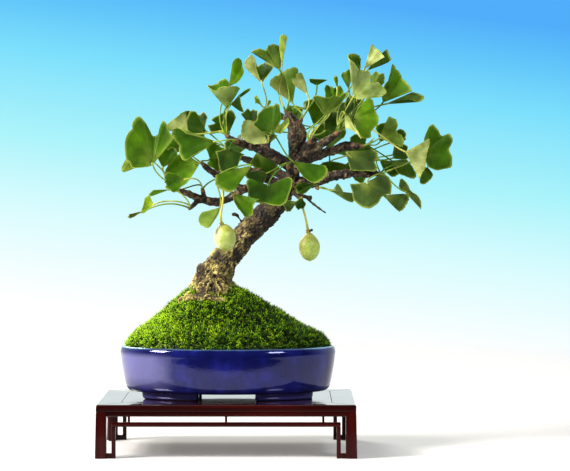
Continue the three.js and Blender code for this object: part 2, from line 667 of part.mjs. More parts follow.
// A leaf's own axes: the midrib, out of its upper face, and the way across the blade; then the
// cone that the blade lies on, by its axis, the side of it under the midrib, half the turn that
// the blade takes round it, and the slope between the axis and the blade.
function leafFrame(leaf) {
  const [x, y, z, heading, lean, roll, , spread, wrap] = leaf;
  const rad = Math.PI / 180;
  const foot = new THREE.Vector3(x, y, z);
  const rib = new THREE.Vector3(0, -Math.sin(lean * rad), 0);
  rib.x = Math.cos(lean * rad) * Math.cos(heading * rad);
  rib.z = Math.cos(lean * rad) * Math.sin(heading * rad);
  const viewer = new THREE.Vector3(0, -1, 0);
  const up = viewer.addScaledVector(rib, -viewer.dot(rib)).normalize();
  up.applyAxisAngle(rib, roll * rad);
  const across = new THREE.Vector3().crossVectors(up, rib);
  const turn = (spread + wrap) * rad;
  const slope = Math.asin(spread / (spread + wrap));
  const axis = rib.clone().multiplyScalar(Math.cos(slope)).addScaledVector(up, Math.sin(slope));
  const below = rib.clone().multiplyScalar(Math.sin(slope)).addScaledVector(up, -Math.cos(slope));
  return { foot, rib, across, turn, slope, axis, below };
}

// Length of the blade along one ray, as a share of its size: two lobes, a notch between them
// and a gently waved margin. Side runs from -1 to 1 across the fan.
function margin(side, notch, seed) {
  const shoulder = 0.16 + 0.16 * chance(seed, 1);
  const wave = 0.03 * Math.cos(9 * side + 6 * chance(seed, 2));
  return 1 - notch * Math.exp(-((side / 0.16) ** 2)) - shoulder * side * side + wave;
}

// Height of the blade above its cone: the end droops and the margin waves.
function lift(share, side, seed) {
  const wave = 0.045 * share ** 3 * Math.sin(6.5 * side + 6.3 * chance(seed, 3));
  return wave - 0.16 * (chance(seed, 4) - 0.3) * share ** 2;
}

// One fan-shaped blade: a straight root edge and one or two rings of points across the fan, with
// both faces split alike, so that they never cross.
function blade(leaf, seed) {
  const { foot, across, turn, slope, axis, below } = leafFrame(leaf);
  const size = leaf[6];
  const notch = leaf[9];
  const rays = size > LEAF.smallTo ? LEAF.rays : LEAF.smallRays;
  const rings = size < LEAF.largeFrom ? 1 : 2;
  const at = (share, side, face) => {
    const length = size * share * (share > LEAF.root ? margin(side, notch, seed) : 1);
    const outward = below.clone().multiplyScalar(Math.cos(side * turn)).addScaledVector(across, Math.sin(side * turn));
    const ray = axis.clone().multiplyScalar(Math.cos(slope)).addScaledVector(outward, Math.sin(slope));
    const normal = axis.clone().multiplyScalar(Math.sin(slope)).addScaledVector(outward, -Math.cos(slope));
    const tall = size * lift(share, side, seed) + (face * LEAF.thick) / 2;
    return foot.clone().addScaledVector(ray, length).addScaledVector(normal, tall);
  };
  const positions = [];
  for (const face of [1, -1]) {
    for (const side of [-1, 1]) positions.push(...at(LEAF.root, side, face).toArray());
    for (let k = 1; k <= rings; k++)
      for (let j = 0; j <= rays; j++) positions.push(...at(k / rings, (2 * j) / rays - 1, face).toArray());
  }
  const id = (k, j) => (k ? 2 + (k - 1) * (rays + 1) + j : j ? 1 : 0);
  const layer = 2 + rings * (rays + 1);
  const index = [];
  const both = (a, b, c) => index.push(a, c, b, a + layer, b + layer, c + layer);
  const middle = rays / 2;
  both(id(0, 0), id(0, 1), id(1, middle));
  for (let j = 0; j < rays; j++) both(id(0, j < middle ? 0 : 1), id(1, j + 1), id(1, j));
  for (let k = 1; k < rings; k++)
    for (let j = 0; j < rays; j++) {
      const [a, b, c, d] = [id(k, j), id(k, j + 1), id(k + 1, j + 1), id(k + 1, j)];
      both(a, j < middle ? c : b, d);
      both(j < middle ? a : b, j < middle ? b : c, j < middle ? c : d);
    }
  const rim = [id(0, 0)];
  for (let k = 0; k < rings; k++) rim.push(id(k, k ? rays : 1));
  for (let j = rays; j >= 0; j--) rim.push(id(rings, j));
  for (let k = rings - 1; k > 0; k--) rim.push(id(k, 0));
  rim.forEach((a, i) => {
    const b = rim[(i + 1) % rim.length];
    index.push(a, b, b + layer, a, b + layer, a + layer);
  });
  return solidOf(
    new THREE.BufferGeometry()
      .setAttribute("position", new THREE.Float32BufferAttribute(positions, 3))
      .setIndex(index),
  );
}

// The stalk of a leaf: out of the bud along the spur, then in along the midrib to the middle of
// the blade's root edge.
function stalkCurve(start, out, leaf) {
  const { foot, rib, turn, slope, axis, below } = leafFrame(leaf);
  const span = foot.distanceTo(start);
  const root = LEAF.root * leaf[6];
  const end = foot.clone().addScaledVector(axis, root * Math.cos(slope));
  end.addScaledVector(below, root * Math.sin(slope) * Math.cos(turn)).addScaledVector(rib, 0.5);
  return new THREE.CubicBezierCurve3(
    start,
    start.clone().addScaledVector(out, 0.3 * span),
    foot.clone().addScaledVector(rib, -0.34 * span),
    end,
  );
}

function tube(curve, radius, sides, steps) {
  const round = new THREE.Shape(
    Array.from({ length: sides }, (_, j) => {
      const turn = (2 * Math.PI * j) / sides;
      return new THREE.Vector2(radius * Math.cos(turn), radius * Math.sin(turn));
    }),
  );
  return solidOf(new THREE.ExtrudeGeometry(round, { steps, extrudePath: curve, bevelEnabled: false }));
}

// The leaves of one spur, held together by the bud that they grow from.
function leafCluster(spur, leaves, seed) {
  const from = vector(spur.from);
  const tip = vector(spur.tip);
  const out = tip.clone().sub(from).normalize();
  const bud = new THREE.CylinderGeometry(BUD.radius * 0.7, BUD.radius, BUD.high, 5);
  bud.applyQuaternion(new THREE.Quaternion().setFromUnitVectors(new THREE.Vector3(0, 1, 0), out));
  const middle = tip.clone().addScaledVector(out, GAP + BUD.high / 2);
  bud.translate(middle.x, middle.y, middle.z);
  const start = tip.clone().addScaledVector(out, GAP + BUD.high * 0.5);
  const pieces = [solidOf(bud)];
  leaves.forEach((leaf, i) => {
    pieces.push(blade(leaf, seed + i));
    pieces.push(tube(stalkCurve(start, out, leaf), LEAF.stalkRadius, 3, LEAF.stalkSteps));
  });
  return filled(joined(pieces));
}

// The two naked seeds, plum-shaped, each on its own long stalk with a collar.
const FRUITS = {
  fruit_left: {
    path: [[-2.6, -27.4, 183.6], [-2.8, -30, 174], [-4.2, -31, 163], [-3.6, -31, 157.5]],
    middle: [-1.4, -31, 147.6], radius: 7.5, high: 18.6, tilt: 8, pointed: 0.05,
  },
  fruit_right: {
    path: [[49.3, -9.4, 173.5], [52, -11.6, 168], [54.2, -12.8, 160], [55.6, -13, 152.5]],
    middle: [56.6, -13, 141.6], radius: 7.2, high: 20, tilt: 3, pointed: 0.22,
  },
};

function fruitSolid(fruit) {
  const profile = Array.from({ length: 8 }, (_, i) => {
    const t = -Math.PI / 2 + (Math.PI * i) / 7;
    const narrow = 1 - fruit.pointed * Math.max(0, Math.sin(t)) ** 2 * 1.2;
    return new THREE.Vector2(i % 7 ? fruit.radius * Math.cos(t) * narrow : 0, (fruit.high / 2) * Math.sin(t));
  });
  const seed = new THREE.LatheGeometry(profile, 12).rotateX(Math.PI / 2);
  seed.rotateY((-fruit.tilt * Math.PI) / 180).translate(...fruit.middle);
  const path = new THREE.CatmullRomCurve3(fruit.path.map(vector));
  const stalk = tube(path, 0.85, 5, 6);
  const end = vector(fruit.path.at(-1));
  const collar = new THREE.CylinderGeometry(1.2, 2, 2.2, 8).rotateX(Math.PI / 2).translate(end.x, end.y, end.z);
  return joined([solidOf(seed), stalk, solidOf(collar)]);
}

// Assembly.
const tree = new THREE.Group();
tree.add(...standPieces(), potPiece());
for (const [where, x] of [["left", -POT.holeOut], ["right", POT.holeOut]])
  tree.add(part(`drain_net_${where}`, screenSolid(x), mesh));

const mossFoot = POT.rim - 5.5;
const grownFoot = trunkFoot(0.35);
const soilBelow = [
  ovalRing(POT.wall + 11 + GAP, potBottom + POT.floor + GAP),
  ovalRing(POT.wall + 7.5 + GAP, potBottom + POT.floor + 1.5 + GAP),
  ovalRing(POT.wall + 3.4 + GAP, potBottom + POT.floor + 7),
  ovalRing(POT.wall + GAP, mossFoot - GAP),
];
const soil = moundSolid(MOUND.mossThick + GAP, MOUND.rimMoss + 2 * GAP, soilBelow)
  .subtract(grownFoot)
  .subtract(screenSolid(-POT.holeOut, GAP))
  .subtract(screenSolid(POT.holeOut, GAP));
tree.add(part("soil", largest(soil), earth));
const moss = moundSolid(0, GAP, [ovalRing(POT.wall + GAP, mossFoot)]).subtract(
  moundSolid(MOUND.mossThick, MOUND.rimMoss + GAP, [ovalRing(POT.wall + MOUND.rimMoss + GAP, mossFoot - 5)]),
);
tree.add(part("moss", largest(moss.subtract(grownFoot)), mossGreen));

const wood = woodSolid();
tree.add(part("tree_wood", wood, bark));

let seed = 1;
for (const [name, spur] of Object.entries(SPURS)) {
  tree.add(part(`leaves_${name}`, leafCluster(spur, spur.leaves, seed), leafGreen));
  seed += spur.leaves.length;
}
for (const [name, spur] of Object.entries(BACK_SPURS)) {
  tree.add(part(`leaves_${name}`, leafCluster(spur, ruledLeaves(spur, seed), seed), leafGreen));
  seed += spur.leaves;
}
for (const [name, fruit] of Object.entries(FRUITS)) tree.add(part(name, fruitSolid(fruit), fruitGreen));

const reach = new THREE.Box3().setFromObject(tree);
tree.position.set(-(reach.min.x + reach.max.x) / 2, -(reach.min.y + reach.max.y) / 2, 0);
const bonsai = new THREE.Group();
bonsai.add(tree);
export default bonsai;
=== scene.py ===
# A small ginkgo bonsai in fruit, on a moss mound in a blue glazed pot, on a lacquered stand.
import math

import bmesh
import bpy
import numpy as np
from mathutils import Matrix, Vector


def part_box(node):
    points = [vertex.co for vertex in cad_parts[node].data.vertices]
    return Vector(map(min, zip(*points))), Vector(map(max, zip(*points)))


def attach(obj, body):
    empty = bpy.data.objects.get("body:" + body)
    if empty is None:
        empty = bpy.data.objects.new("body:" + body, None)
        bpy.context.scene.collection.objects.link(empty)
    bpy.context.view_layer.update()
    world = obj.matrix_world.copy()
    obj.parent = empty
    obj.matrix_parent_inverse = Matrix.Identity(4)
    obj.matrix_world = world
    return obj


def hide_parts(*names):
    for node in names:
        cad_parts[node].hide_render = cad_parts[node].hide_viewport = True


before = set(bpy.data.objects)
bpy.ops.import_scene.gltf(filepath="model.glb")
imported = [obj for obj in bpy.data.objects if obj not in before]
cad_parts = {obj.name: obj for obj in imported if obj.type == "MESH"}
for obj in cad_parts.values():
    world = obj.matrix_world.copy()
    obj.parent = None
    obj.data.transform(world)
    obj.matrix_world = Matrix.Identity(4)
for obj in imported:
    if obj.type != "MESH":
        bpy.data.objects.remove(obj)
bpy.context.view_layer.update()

# The camera looks from where the photograph was taken, through a long lens 1.8 m away, level
# with the crown and a little down. All shapes below are given in millimetres from the pot's
# centre on the floor.
pot_low, pot_high = (np.array(corner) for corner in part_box("pot"))
centre = np.append((pot_low[:2] + pot_high[:2]) / 2, 0.0)
scene = bpy.context.scene
camera = bpy.data.objects.new("camera", bpy.data.cameras.new("camera"))
camera.data.lens, camera.data.sensor_width = 163.3, 36
camera_right, camera_away, camera_up, camera_tilt = 39.7, 1800, 195.8, math.radians(1.495)
camera.location = centre + np.array((camera_right, -camera_away, camera_up)) / 1000
camera.rotation_euler = (math.pi / 2 - camera_tilt, 0, 0)
scene.collection.objects.link(camera)
scene.camera = camera
scene.view_settings.view_transform = "Standard"


# The studio is a white floor that fades into a backdrop running from white to blue. A large soft
# lamp stands at the left, a weak one at the right and another behind the leaves, and a black
# card on the floor towards the camera keeps the top of the pot's reflections dark.
def linear(code):
    """Colour of a six-digit code as red, green, blue and a full alpha, in linear light."""
    parts = np.array([int(code[i:i + 2], 16) for i in (0, 2, 4)]) / 255
    low = parts / 12.92
    return (*np.where(parts < 0.04045, low, ((parts + 0.055) / 1.055) ** 2.4), 1.0)


def add_node(tree, kind, sockets=None, **settings):
    """One shader node. Each socket gets a plain value, or a link from another node's output."""
    made = tree.nodes.new("ShaderNode" + kind)
    for name, value in settings.items():
        setattr(made, name, value)
    for name, value in (sockets or {}).items():
        if isinstance(value, bpy.types.NodeSocket):
            tree.links.new(value, made.inputs[name])
        else:
            made.inputs[name].default_value = value
    return made


def ramp(tree, value, *stops):
    """Colour that changes with a value through stops of (value, colour code)."""
    made = add_node(tree, "ValToRGB", {"Fac": value})
    for number, (place, code) in enumerate(stops):
        stop = made.color_ramp.elements[number] if number < 2 else made.color_ramp.elements.new(place)
        stop.position, stop.color = place, linear(code)
    return made.outputs["Color"]


def maths(tree, operation, *values):
    """A Math node's result for up to three values."""
    return add_node(tree, "Math", dict(enumerate(values)), operation=operation).outputs[0]


def blended(tree, share, first, second, how="MIX"):
    """Two colours mixed by a share."""
    made = add_node(tree, "MixRGB", {"Fac": share, "Color1": first, "Color2": second}, blend_type=how)
    return made.outputs[0]


def mapped(tree, value, low, high, to_low=0, to_high=1):
    """A value's range from low to high laid onto another range, and held at its ends."""
    return add_node(tree, "MapRange", {"Value": value, "From Min": low, "From Max": high,
                                       "To Min": to_low, "To Max": to_high}).outputs[0]


def new_material(name):
    """An empty material: its node tree, and its output node."""
    made = bpy.data.materials.new(name)
    made.use_nodes = True
    made.node_tree.nodes.clear()
    return made, made.node_tree, add_node(made.node_tree, "OutputMaterial")


def new_mesh(name, points, triangles):
    """A smooth mesh object from points in millimetres and rows of three point numbers."""
    mesh = bpy.data.meshes.new(name)
    mesh.vertices.add(len(points))
    mesh.vertices.foreach_set("co", (points / 1000 + centre).astype(np.float32).ravel())
    mesh.loops.add(triangles.size)
    mesh.loops.foreach_set("vertex_index", triangles.astype(np.int32).ravel())
    mesh.polygons.add(len(triangles))
    mesh.polygons.foreach_set("loop_start", np.arange(0, triangles.size, 3, dtype=np.int32))
    mesh.polygons.foreach_set("use_smooth", np.ones(len(triangles), bool))
    mesh.update(calc_edges=True)
    made = bpy.data.objects.new(name, mesh)
    scene.collection.objects.link(made)
    return made


def lamp(name, place, aim, power, width, tint):
    """A square soft lamp at a place in metres, turned towards its aim."""
    made = bpy.data.objects.new(name, bpy.data.lights.new(name, "AREA"))
    made.data.energy, made.data.size, made.data.color = power, width, linear(tint)[:3]
    made.location = centre + place
    made.rotation_euler = (Vector(aim) - Vector(place)).to_track_quat("-Z", "Y").to_euler()
    scene.collection.objects.link(made)


lamp("front_lamp", (-1.25, -0.62, 1.0), (0, 0, 0.15), 57, 0.45, "fff7ea")
lamp("side_lamp", (0.95, -1.15, 0.98), (0, 0, 0.15), 12, 0.36, "ffffff")
lamp("back_lamp", (-0.5, 0.9, 0.8), (0.02, 0, 0.2), 13, 0.5, "fffbe8")

world = bpy.data.worlds.new("studio")
scene.world = world
world.use_nodes = True
sky = world.node_tree
sky.nodes.clear()
direction = add_node(sky, "SeparateXYZ", {0: add_node(sky, "TexCoord").outputs["Generated"]})
sideways = mapped(sky, direction.outputs["X"], -0.12, 0.12, -0.015, 0.015)
height = maths(sky, "ADD", direction.outputs["Z"], sideways)
height = mapped(sky, height, -0.07, 0.07)
backdrop = ramp(sky, height, (0.05, "ffffff"), (0.98, "50aefa"), (0.3, "dafcfe"),
                (0.5, "acf4fb"), (0.74, "7cdffc"), (0.86, "64c8fa"))
behind = mapped(sky, direction.outputs["Y"], -0.3, 0.25, 0.03, 0.95)
path = add_node(sky, "LightPath")
glossy = blended(sky, behind, linear("000000"), linear("f4ffff"))
unseen = blended(sky, path.outputs["Is Glossy Ray"], linear("a4a8a6"), glossy)
seen = blended(sky, path.outputs["Is Camera Ray"], unseen, backdrop)
background = add_node(sky, "Background", {"Color": seen, "Strength": 1.0})
add_node(sky, "OutputWorld", {"Surface": background.outputs[0]})

floor_paper, tree, output = new_material("floor_paper")
away = add_node(tree, "VectorMath", {0: add_node(tree, "TexCoord").outputs["Object"]}, operation="LENGTH")
fade = mapped(tree, away.outputs["Value"], 0.35, 1.1)
paper = add_node(tree, "BsdfPrincipled", {
    "Base Color": linear("c6c7cc"), "Roughness": 1.0, "Specular IOR Level": 0.0,
    "Emission Color": linear("fffaf2"), "Emission Strength": 0.2})
clear = add_node(tree, "BsdfTransparent")
mixed = add_node(tree, "MixShader", {0: fade, 1: paper.outputs[0], 2: clear.outputs[0]})
tree.links.new(mixed.outputs[0], output.inputs["Surface"])


def sheet_on_floor(name, x0, x1, y0, y1, up, material):
    """A flat rectangle at a height, in millimetres, kept out of the object."""
    points = np.array([(x0, y0, up), (x1, y0, up), (x1, y1, up), (x0, y1, up)], float)
    made = new_mesh(name, points, np.array([(0, 1, 2), (0, 2, 3)]))
    made.data.materials.append(material)
    return made


sheet_on_floor("floor", -1400, 1400, -1400, 1400, 0, floor_paper)
card_black, tree, output = new_material("card_black")
tree.links.new(add_node(tree, "BsdfDiffuse", {"Color": linear("0a0a12")}).outputs[0],
               output.inputs["Surface"])
card = sheet_on_floor("dark_card", -1300, 1300, -1390, -262, 1, card_black)
card.visible_camera = card.visible_diffuse = card.visible_shadow = card.visible_transmission = False


# The display stand is thin members of hardwood, mitred and tenoned together, then finished in
# many coats of dark red-brown lacquer rubbed to a gloss. Each member keeps its sawn shape, with
# its edges eased before the lacquer.
def noise(tree, place, scale, detail, **more):
    """Cloudy values from 0 to 1, with the scale in clouds to a metre."""
    sockets = {"Vector": place, "Scale": scale, "Detail": detail, **more}
    return add_node(tree, "TexNoise", sockets).outputs["Fac"]


def new_group(name, given, results):
    """An empty node group, with the name and the kind of each socket: the group, and its inputs."""
    group = bpy.data.node_groups.new(name, "ShaderNodeTree")
    for way, sockets in (("INPUT", given), ("OUTPUT", results)):
        for socket, kind in sockets.items():
            group.interface.new_socket(socket, in_out=way, socket_type="NodeSocket" + kind)
    return group, group.nodes.new("NodeGroupInput").outputs


def put_out(group, *values):
    """Links a node group's results, in the order of its sockets."""
    result = group.nodes.new("NodeGroupOutput")
    for number, value in enumerate(values):
        group.links.new(value, result.inputs[number])
    return group


def grain_group():
    """Node group: streaks and pores, both drawn out along one axis."""
    group, given = new_group("grain", {"Vector": "Vector", "Stretch": "Vector"},
                             {"Streaks": "Float", "Pores": "Float"})
    drawn = add_node(group, "VectorMath", {0: given[0], 1: given[1]}, operation="MULTIPLY").outputs[0]
    return put_out(group, noise(group, drawn, 160, 5, Distortion=0.6), noise(group, drawn, 900, 2))


grain = grain_group()


def relief_of(tree, height, strength, distance):
    """The way a surface faces with heights laid on it, the distance being a height of 1 in metres."""
    sockets = {"Height": height, "Strength": strength, "Distance": distance}
    return add_node(tree, "Bump", sockets).outputs[0]


def lacquer(name, stretch, polish):
    """Dark lacquer over wood whose grain runs along the axis with the smallest stretch. The more
    polish, the stronger its clear top coat, which is rubbed down below the top."""
    made, tree, output = new_material(name)
    place = add_node(tree, "TexCoord").outputs["Object"]
    wood = add_node(tree, "Group", {}, node_tree=grain)
    tree.links.new(place, wood.inputs["Vector"])
    wood.inputs["Stretch"].default_value = stretch
    colour = ramp(tree, wood.outputs["Streaks"], (0.25, "140203"), (0.8, "3c0a08"), (0.5, "240504"))
    up = add_node(tree, "SeparateXYZ", {0: place}).outputs["Z"]
    shine = mapped(tree, up, 0.0335, 0.0358, 0.05, polish)
    hands = noise(tree, place, 45, 3)
    rough = mapped(tree, hands, 0, 1, 0.1, 0.22)
    both = maths(tree, "MULTIPLY_ADD", wood.outputs["Pores"], 0.4, wood.outputs["Streaks"])
    relief = relief_of(tree, both, 0.12, 0.0003)
    finish = add_node(tree, "BsdfPrincipled", {
        "Base Color": colour, "Roughness": rough, "Normal": relief, "IOR": 1.19,
        "Coat Weight": shine, "Coat Roughness": 0.04, "Coat IOR": 1.5})
    tree.links.new(finish.outputs[0], output.inputs["Surface"])
    return made


grains = {(along, part): lacquer("lacquer_" + along + part, stretch, polish)
          for along, stretch in (("across", (0.06, 1, 1)), ("inward", (1, 0.06, 1)),
                                 ("upright", (1, 1, 0.06)))
          for part, polish in (("_top", 1.0), ("_under", 0.08))}


def eased(node, ease):
    """A member's own solid with its triangles joined into whole faces and its edges rounded."""
    shape = bmesh.new()
    shape.from_mesh(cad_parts[node].data)
    bmesh.ops.remove_doubles(shape, verts=shape.verts, dist=1e-6)
    bmesh.ops.dissolve_limit(shape, angle_limit=math.radians(1), verts=shape.verts, edges=shape.edges)
    mesh = bpy.data.meshes.new(node + "_eased")
    shape.to_mesh(mesh)
    shape.free()
    mesh.shade_smooth()
    made = bpy.data.objects.new(node + "_eased", mesh)
    scene.collection.objects.link(made)
    rounding = made.modifiers.new("eased_edges", "BEVEL")
    rounding.width, rounding.segments, rounding.limit_method = ease / 1000, 2, "ANGLE"
    rounding.angle_limit = math.radians(30)
    made.modifiers.new("flat_faces", "WEIGHTED_NORMAL").weight = 100
    return made


for node in sorted(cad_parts):
    if not node.startswith("stand_"):
        continue
    kind, side = (node + "_").split("_")[1:3]
    along = "upright" if kind in ("leg", "strut") else "inward" if side in ("left", "right") else "across"
    member = eased(node, 0.25 if kind in ("strut", "panel") else 0.5)
    member.data.materials.append(grains[along, "_top" if kind in ("panel", "frame") else "_under"])
    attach(member, "root")
    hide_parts(node)


# The pot is one piece of thrown and pressed stoneware with four curved feet and two drain holes,
# dipped in a cobalt glaze that breaks to pale blue on the lip and runs milky on the belly. The
# belly's left side is painted paler, a painted reflection, and the lip is painted paler towards its
# two ends, a painted highlight.
half_long, half_deep = 75.0, 48.0
pot_rim, stand_top, foot_high, pot_wall, pot_floor = 72.3, 36.3, 4.9, 4.4, 5.0
pot_base = stand_top + foot_high
wall_tuck, tuck_power, long_side_straighter = 4.7, 1.6, 0.42
foot_start, foot_long, foot_inset, foot_middle = 20, 36.7, 13, 39.8
foot_end_round, foot_draws_in = 1.6, 1.3


def through(points, steps):
    """Smooth curve through points, steps to each span, as a centripetal Catmull-Rom: each span is
    a cubic whose end slopes come from the points before and after, weighted by the square root
    of their distance. Returns the curve's points, each with any further columns it was given."""
    points = np.asarray(points, float)
    ends = np.vstack([2 * points[0] - points[1], points, 2 * points[-1] - points[-2]])
    gap = np.maximum(np.linalg.norm(np.diff(ends[:, :3], axis=0), axis=1), 1e-6)[:, None] ** 0.5
    before, here, after, beyond = ends[:-3], ends[1:-2], ends[2:-1], ends[3:]
    d0, d1, d2 = gap[:-2], gap[1:-1], gap[2:]
    leave = ((here - before) / d0 - (after - before) / (d0 + d1) + (after - here) / d1) * d1
    reach = ((after - here) / d1 - (beyond - here) / (d1 + d2) + (beyond - after) / d2) * d1
    t = (np.arange(steps) / steps)[None, :, None]
    span = [part[:, None, :] for part in (here, leave, 3 * (after - here) - 2 * leave - reach,
                                         2 * (here - after) + leave + reach)]
    curve = span[0] + span[1] * t + span[2] * t ** 2 + span[3] * t ** 3
    return np.vstack([curve.reshape(-1, points.shape[1]), points[-1:]])


def skinned(rings):
    """Surface over rings of points, (rings, around, 3), counter-clockwise seen from the end they
    run towards. Each ring is joined to the next, and each end closed by a fan to its middle."""
    count, around = rings.shape[:2]
    a = (np.arange(count - 1)[:, None] * around + np.arange(around)).ravel()
    b = (np.arange(count - 1)[:, None] * around + (np.arange(around) + 1) % around).ravel()
    first, last = np.arange(around), np.arange(around) + (count - 1) * around
    low, high = np.full(around, count * around), np.full(around, count * around + 1)
    points = np.vstack([rings.reshape(-1, 3), rings[0].mean(0), rings[-1].mean(0)])
    return points, np.vstack([
        np.column_stack([a, b, b + around]), np.column_stack([a, b + around, a + around]),
        np.column_stack([low, np.roll(first, -1), first]),
        np.column_stack([high, last, np.roll(last, -1)])])


def together(surfaces):
    """Several surfaces as one, each one's triangles counting on from the points before it."""
    starts = np.cumsum([0] + [len(points) for points, _ in surfaces])
    return (np.vstack([points for points, _ in surfaces]),
            np.vstack([faces + start for (_, faces), start in zip(surfaces, starts)]))


def oval(insets, heights, turns, eased_off=0.0):
    """Rings of ovals: each is the rim's ellipse less an inset, at its height. The inset can be
    eased off on the long sides."""
    insets, heights, eased_off = np.broadcast_arrays(*np.atleast_1d(insets, heights, eased_off))
    x = (half_long - insets[:, None]) * np.cos(turns)
    y = (half_deep - insets[:, None] + eased_off[:, None]) * np.sin(turns)
    return np.stack([x, y, np.broadcast_to(heights[:, None], x.shape)], -1)


def wall_inset(z):
    """The wall is nearly upright and tucks in towards the base by a power of the depth below the
    rim."""
    return wall_tuck * ((pot_rim - z) / (pot_rim - pot_base)) ** tuck_power


def pot_shell():
    """The bowl: an oval carried along one smooth line up the outside, over the lip and down inside.
    The line's points are the inset from the rim's oval and the height."""
    outside = [(9.2, pot_base), (6.4, pot_base + 0.4), (wall_inset(pot_base + 2) + 0.4, pot_base + 2)]
    outside += [(wall_inset(pot_base + up), pot_base + up) for up in (5, 11, 18, 24)]
    outside += [(0.16, pot_rim - 4.2), (0.4, pot_rim - 2.5), (0.9, pot_rim - 1.2), (1.6, pot_rim - 0.3),
                (2.3, pot_rim)]
    inside = [(pot_wall - 1.3, pot_rim - 0.2), (pot_wall - 0.4, pot_rim - 1.4), (pot_wall, pot_rim - 8),
              (pot_wall + 3.4, pot_base + pot_floor + 7), (pot_wall + 7.5, pot_base + pot_floor + 1.5),
              (pot_wall + 11, pot_base + pot_floor)]
    line = [(inset, long_side_straighter * wall_inset(up), up) for inset, up in outside]
    line = through(np.array(line + [(inset, 0, up) for inset, up in inside]), 6)
    turns = np.linspace(0, 2 * math.pi, 160, endpoint=False)
    rings = oval(line[:, 0], line[:, 2], turns, line[:, 1])
    return skinned(rings)


def pot_foot(way, front):
    """A foot: a rounded section, inset and height, carried along the oval and drawn in by a quarter
    circle at both ends."""
    section = np.array([(11.6, 36.3), (10.5, 36.9), (9.9, 38.0), (9.5, 41.0), (9.3, 43.0), (13, 43.4),
                        (16.5, 42.6), (16.5, 38), (16.2, 36.8), (15.2, 36.3), (11.6, 36.3)])
    section = through(np.column_stack([section[:, 0], 0 * section[:, 0], section[:, 1]]), 3)[:-1]
    tip = np.array([0, 0.1, 0.4, 0.9, 1.6])
    along = np.concatenate([tip, np.linspace(3, foot_long - 3, 24), foot_long - tip[::-1]])
    end = np.minimum(along, foot_long - along)
    drawn_in = np.sqrt(np.clip(1 - (1 - end / foot_end_round) ** 2, 0, 1))
    shrink = foot_draws_in * (1 - drawn_in * (end < foot_end_round) - (end >= foot_end_round))
    middle = np.array([foot_inset, 0, foot_middle])
    reach = section - middle
    far = np.linalg.norm(reach, axis=1)
    rings = middle + reach[None] * (1 - shrink[:, None] / far[None])[..., None]
    turns = np.arccos((foot_start + along) / (half_long - foot_inset))[:, None]
    bowed = np.stack([way * (half_long - rings[..., 0]) * np.cos(turns),
                      front * (half_deep - rings[..., 0]) * np.sin(turns), rings[..., 2]], -1)
    return skinned(bowed if way * front > 0 else bowed[:, ::-1])


def glaze_material():
    """Glossy cobalt glaze: mottled blue, milky where it ran thick, painted paler on the belly's left
    side as a painted reflection, and pale blue on the lip, painted paler towards the two ends as a
    painted highlight."""
    made, tree, output = new_material("cobalt_glaze")
    place = add_node(tree, "TexCoord").outputs["Object"]
    up = add_node(tree, "SeparateXYZ", {0: place}).outputs["Z"]
    cloud = noise(tree, place, 70, 6, Roughness=0.6)
    streaks = add_node(tree, "Mapping", {"Vector": place, "Scale": (1, 1, 0.25)})
    runs = noise(tree, streaks.outputs[0], 260, 4)
    blue = ramp(tree, cloud, (0.3, "080b38"), (0.72, "181c6c"), (0.5, "0c1048"))
    belly = mapped(tree, up, 0.0655, 0.0525)
    ran = maths(tree, "MULTIPLY", belly, ramp(tree, runs, (0.3, "000000"), (0.75, "404040")))
    foot = mapped(tree, up, 0.042, 0.0405, 0, 0.28)
    thick = maths(tree, "MAXIMUM", ran, foot)
    milky = blended(tree, thick, blue, linear("6c66ae"))
    # Painted reflection: the belly's left side, between the lip and the foot, is blended towards pale
    # lilac.
    across = add_node(tree, "SeparateXYZ", {0: place}).outputs["X"]
    across = maths(tree, "SUBTRACT", across, float(centre[0]))
    uneven = maths(tree, "MULTIPLY_ADD", cloud, 0.02, across)
    painted_left_reflection = mapped(tree, uneven, -0.026, -0.042)
    under_lip = mapped(tree, up, 0.0695, 0.0655, 0, 0.34)
    above_foot = mapped(tree, up, 0.043, 0.052)
    painted_left_reflection = maths(tree, "MULTIPLY", maths(tree, "MULTIPLY", painted_left_reflection, above_foot), under_lip)
    milky = blended(tree, painted_left_reflection, milky, linear("9290d0"))
    wobble = maths(tree, "MULTIPLY_ADD", cloud, 0.0012, up)
    lip = mapped(tree, wobble, 0.0719, 0.0727)
    sideways = maths(tree, "ABSOLUTE", across)
    # The pale lip is the glaze breaking thin; it is painted paler still towards the two ends, a painted
    # highlight.
    thin = mapped(tree, sideways, 0.05, 0.072, 0.12)
    broken = maths(tree, "MULTIPLY", lip, thin)
    pale = blended(tree, broken, milky, linear("8cc8e4"))
    rough = mapped(tree, runs, 0, 1, 0.03, 0.09)
    waves = maths(tree, "MULTIPLY_ADD", cloud, 3.0, runs)
    relief = relief_of(tree, waves, 0.25, 0.0002)
    finish = add_node(tree, "BsdfPrincipled", {
        "Base Color": pale, "Roughness": rough, "Normal": relief, "IOR": 1.6,
        "Specular Tint": linear("b0b2f0"), "Coat Weight": 0.1, "Coat Roughness": 0.02})
    tree.links.new(finish.outputs[0], output.inputs["Surface"])
    return made


def cut_from(piece, cutters):
    """The piece with the cutters taken away, as a plain mesh."""
    for cutter in cutters:
        cut = piece.modifiers.new("hole", "BOOLEAN")
        cut.operation, cut.solver, cut.object = "DIFFERENCE", "EXACT", cutter
    finished = bpy.data.meshes.new_from_object(piece.evaluated_get(bpy.context.evaluated_depsgraph_get()))
    piece.modifiers.clear()
    piece.data = finished
    for cutter in cutters:
        bpy.data.objects.remove(cutter)


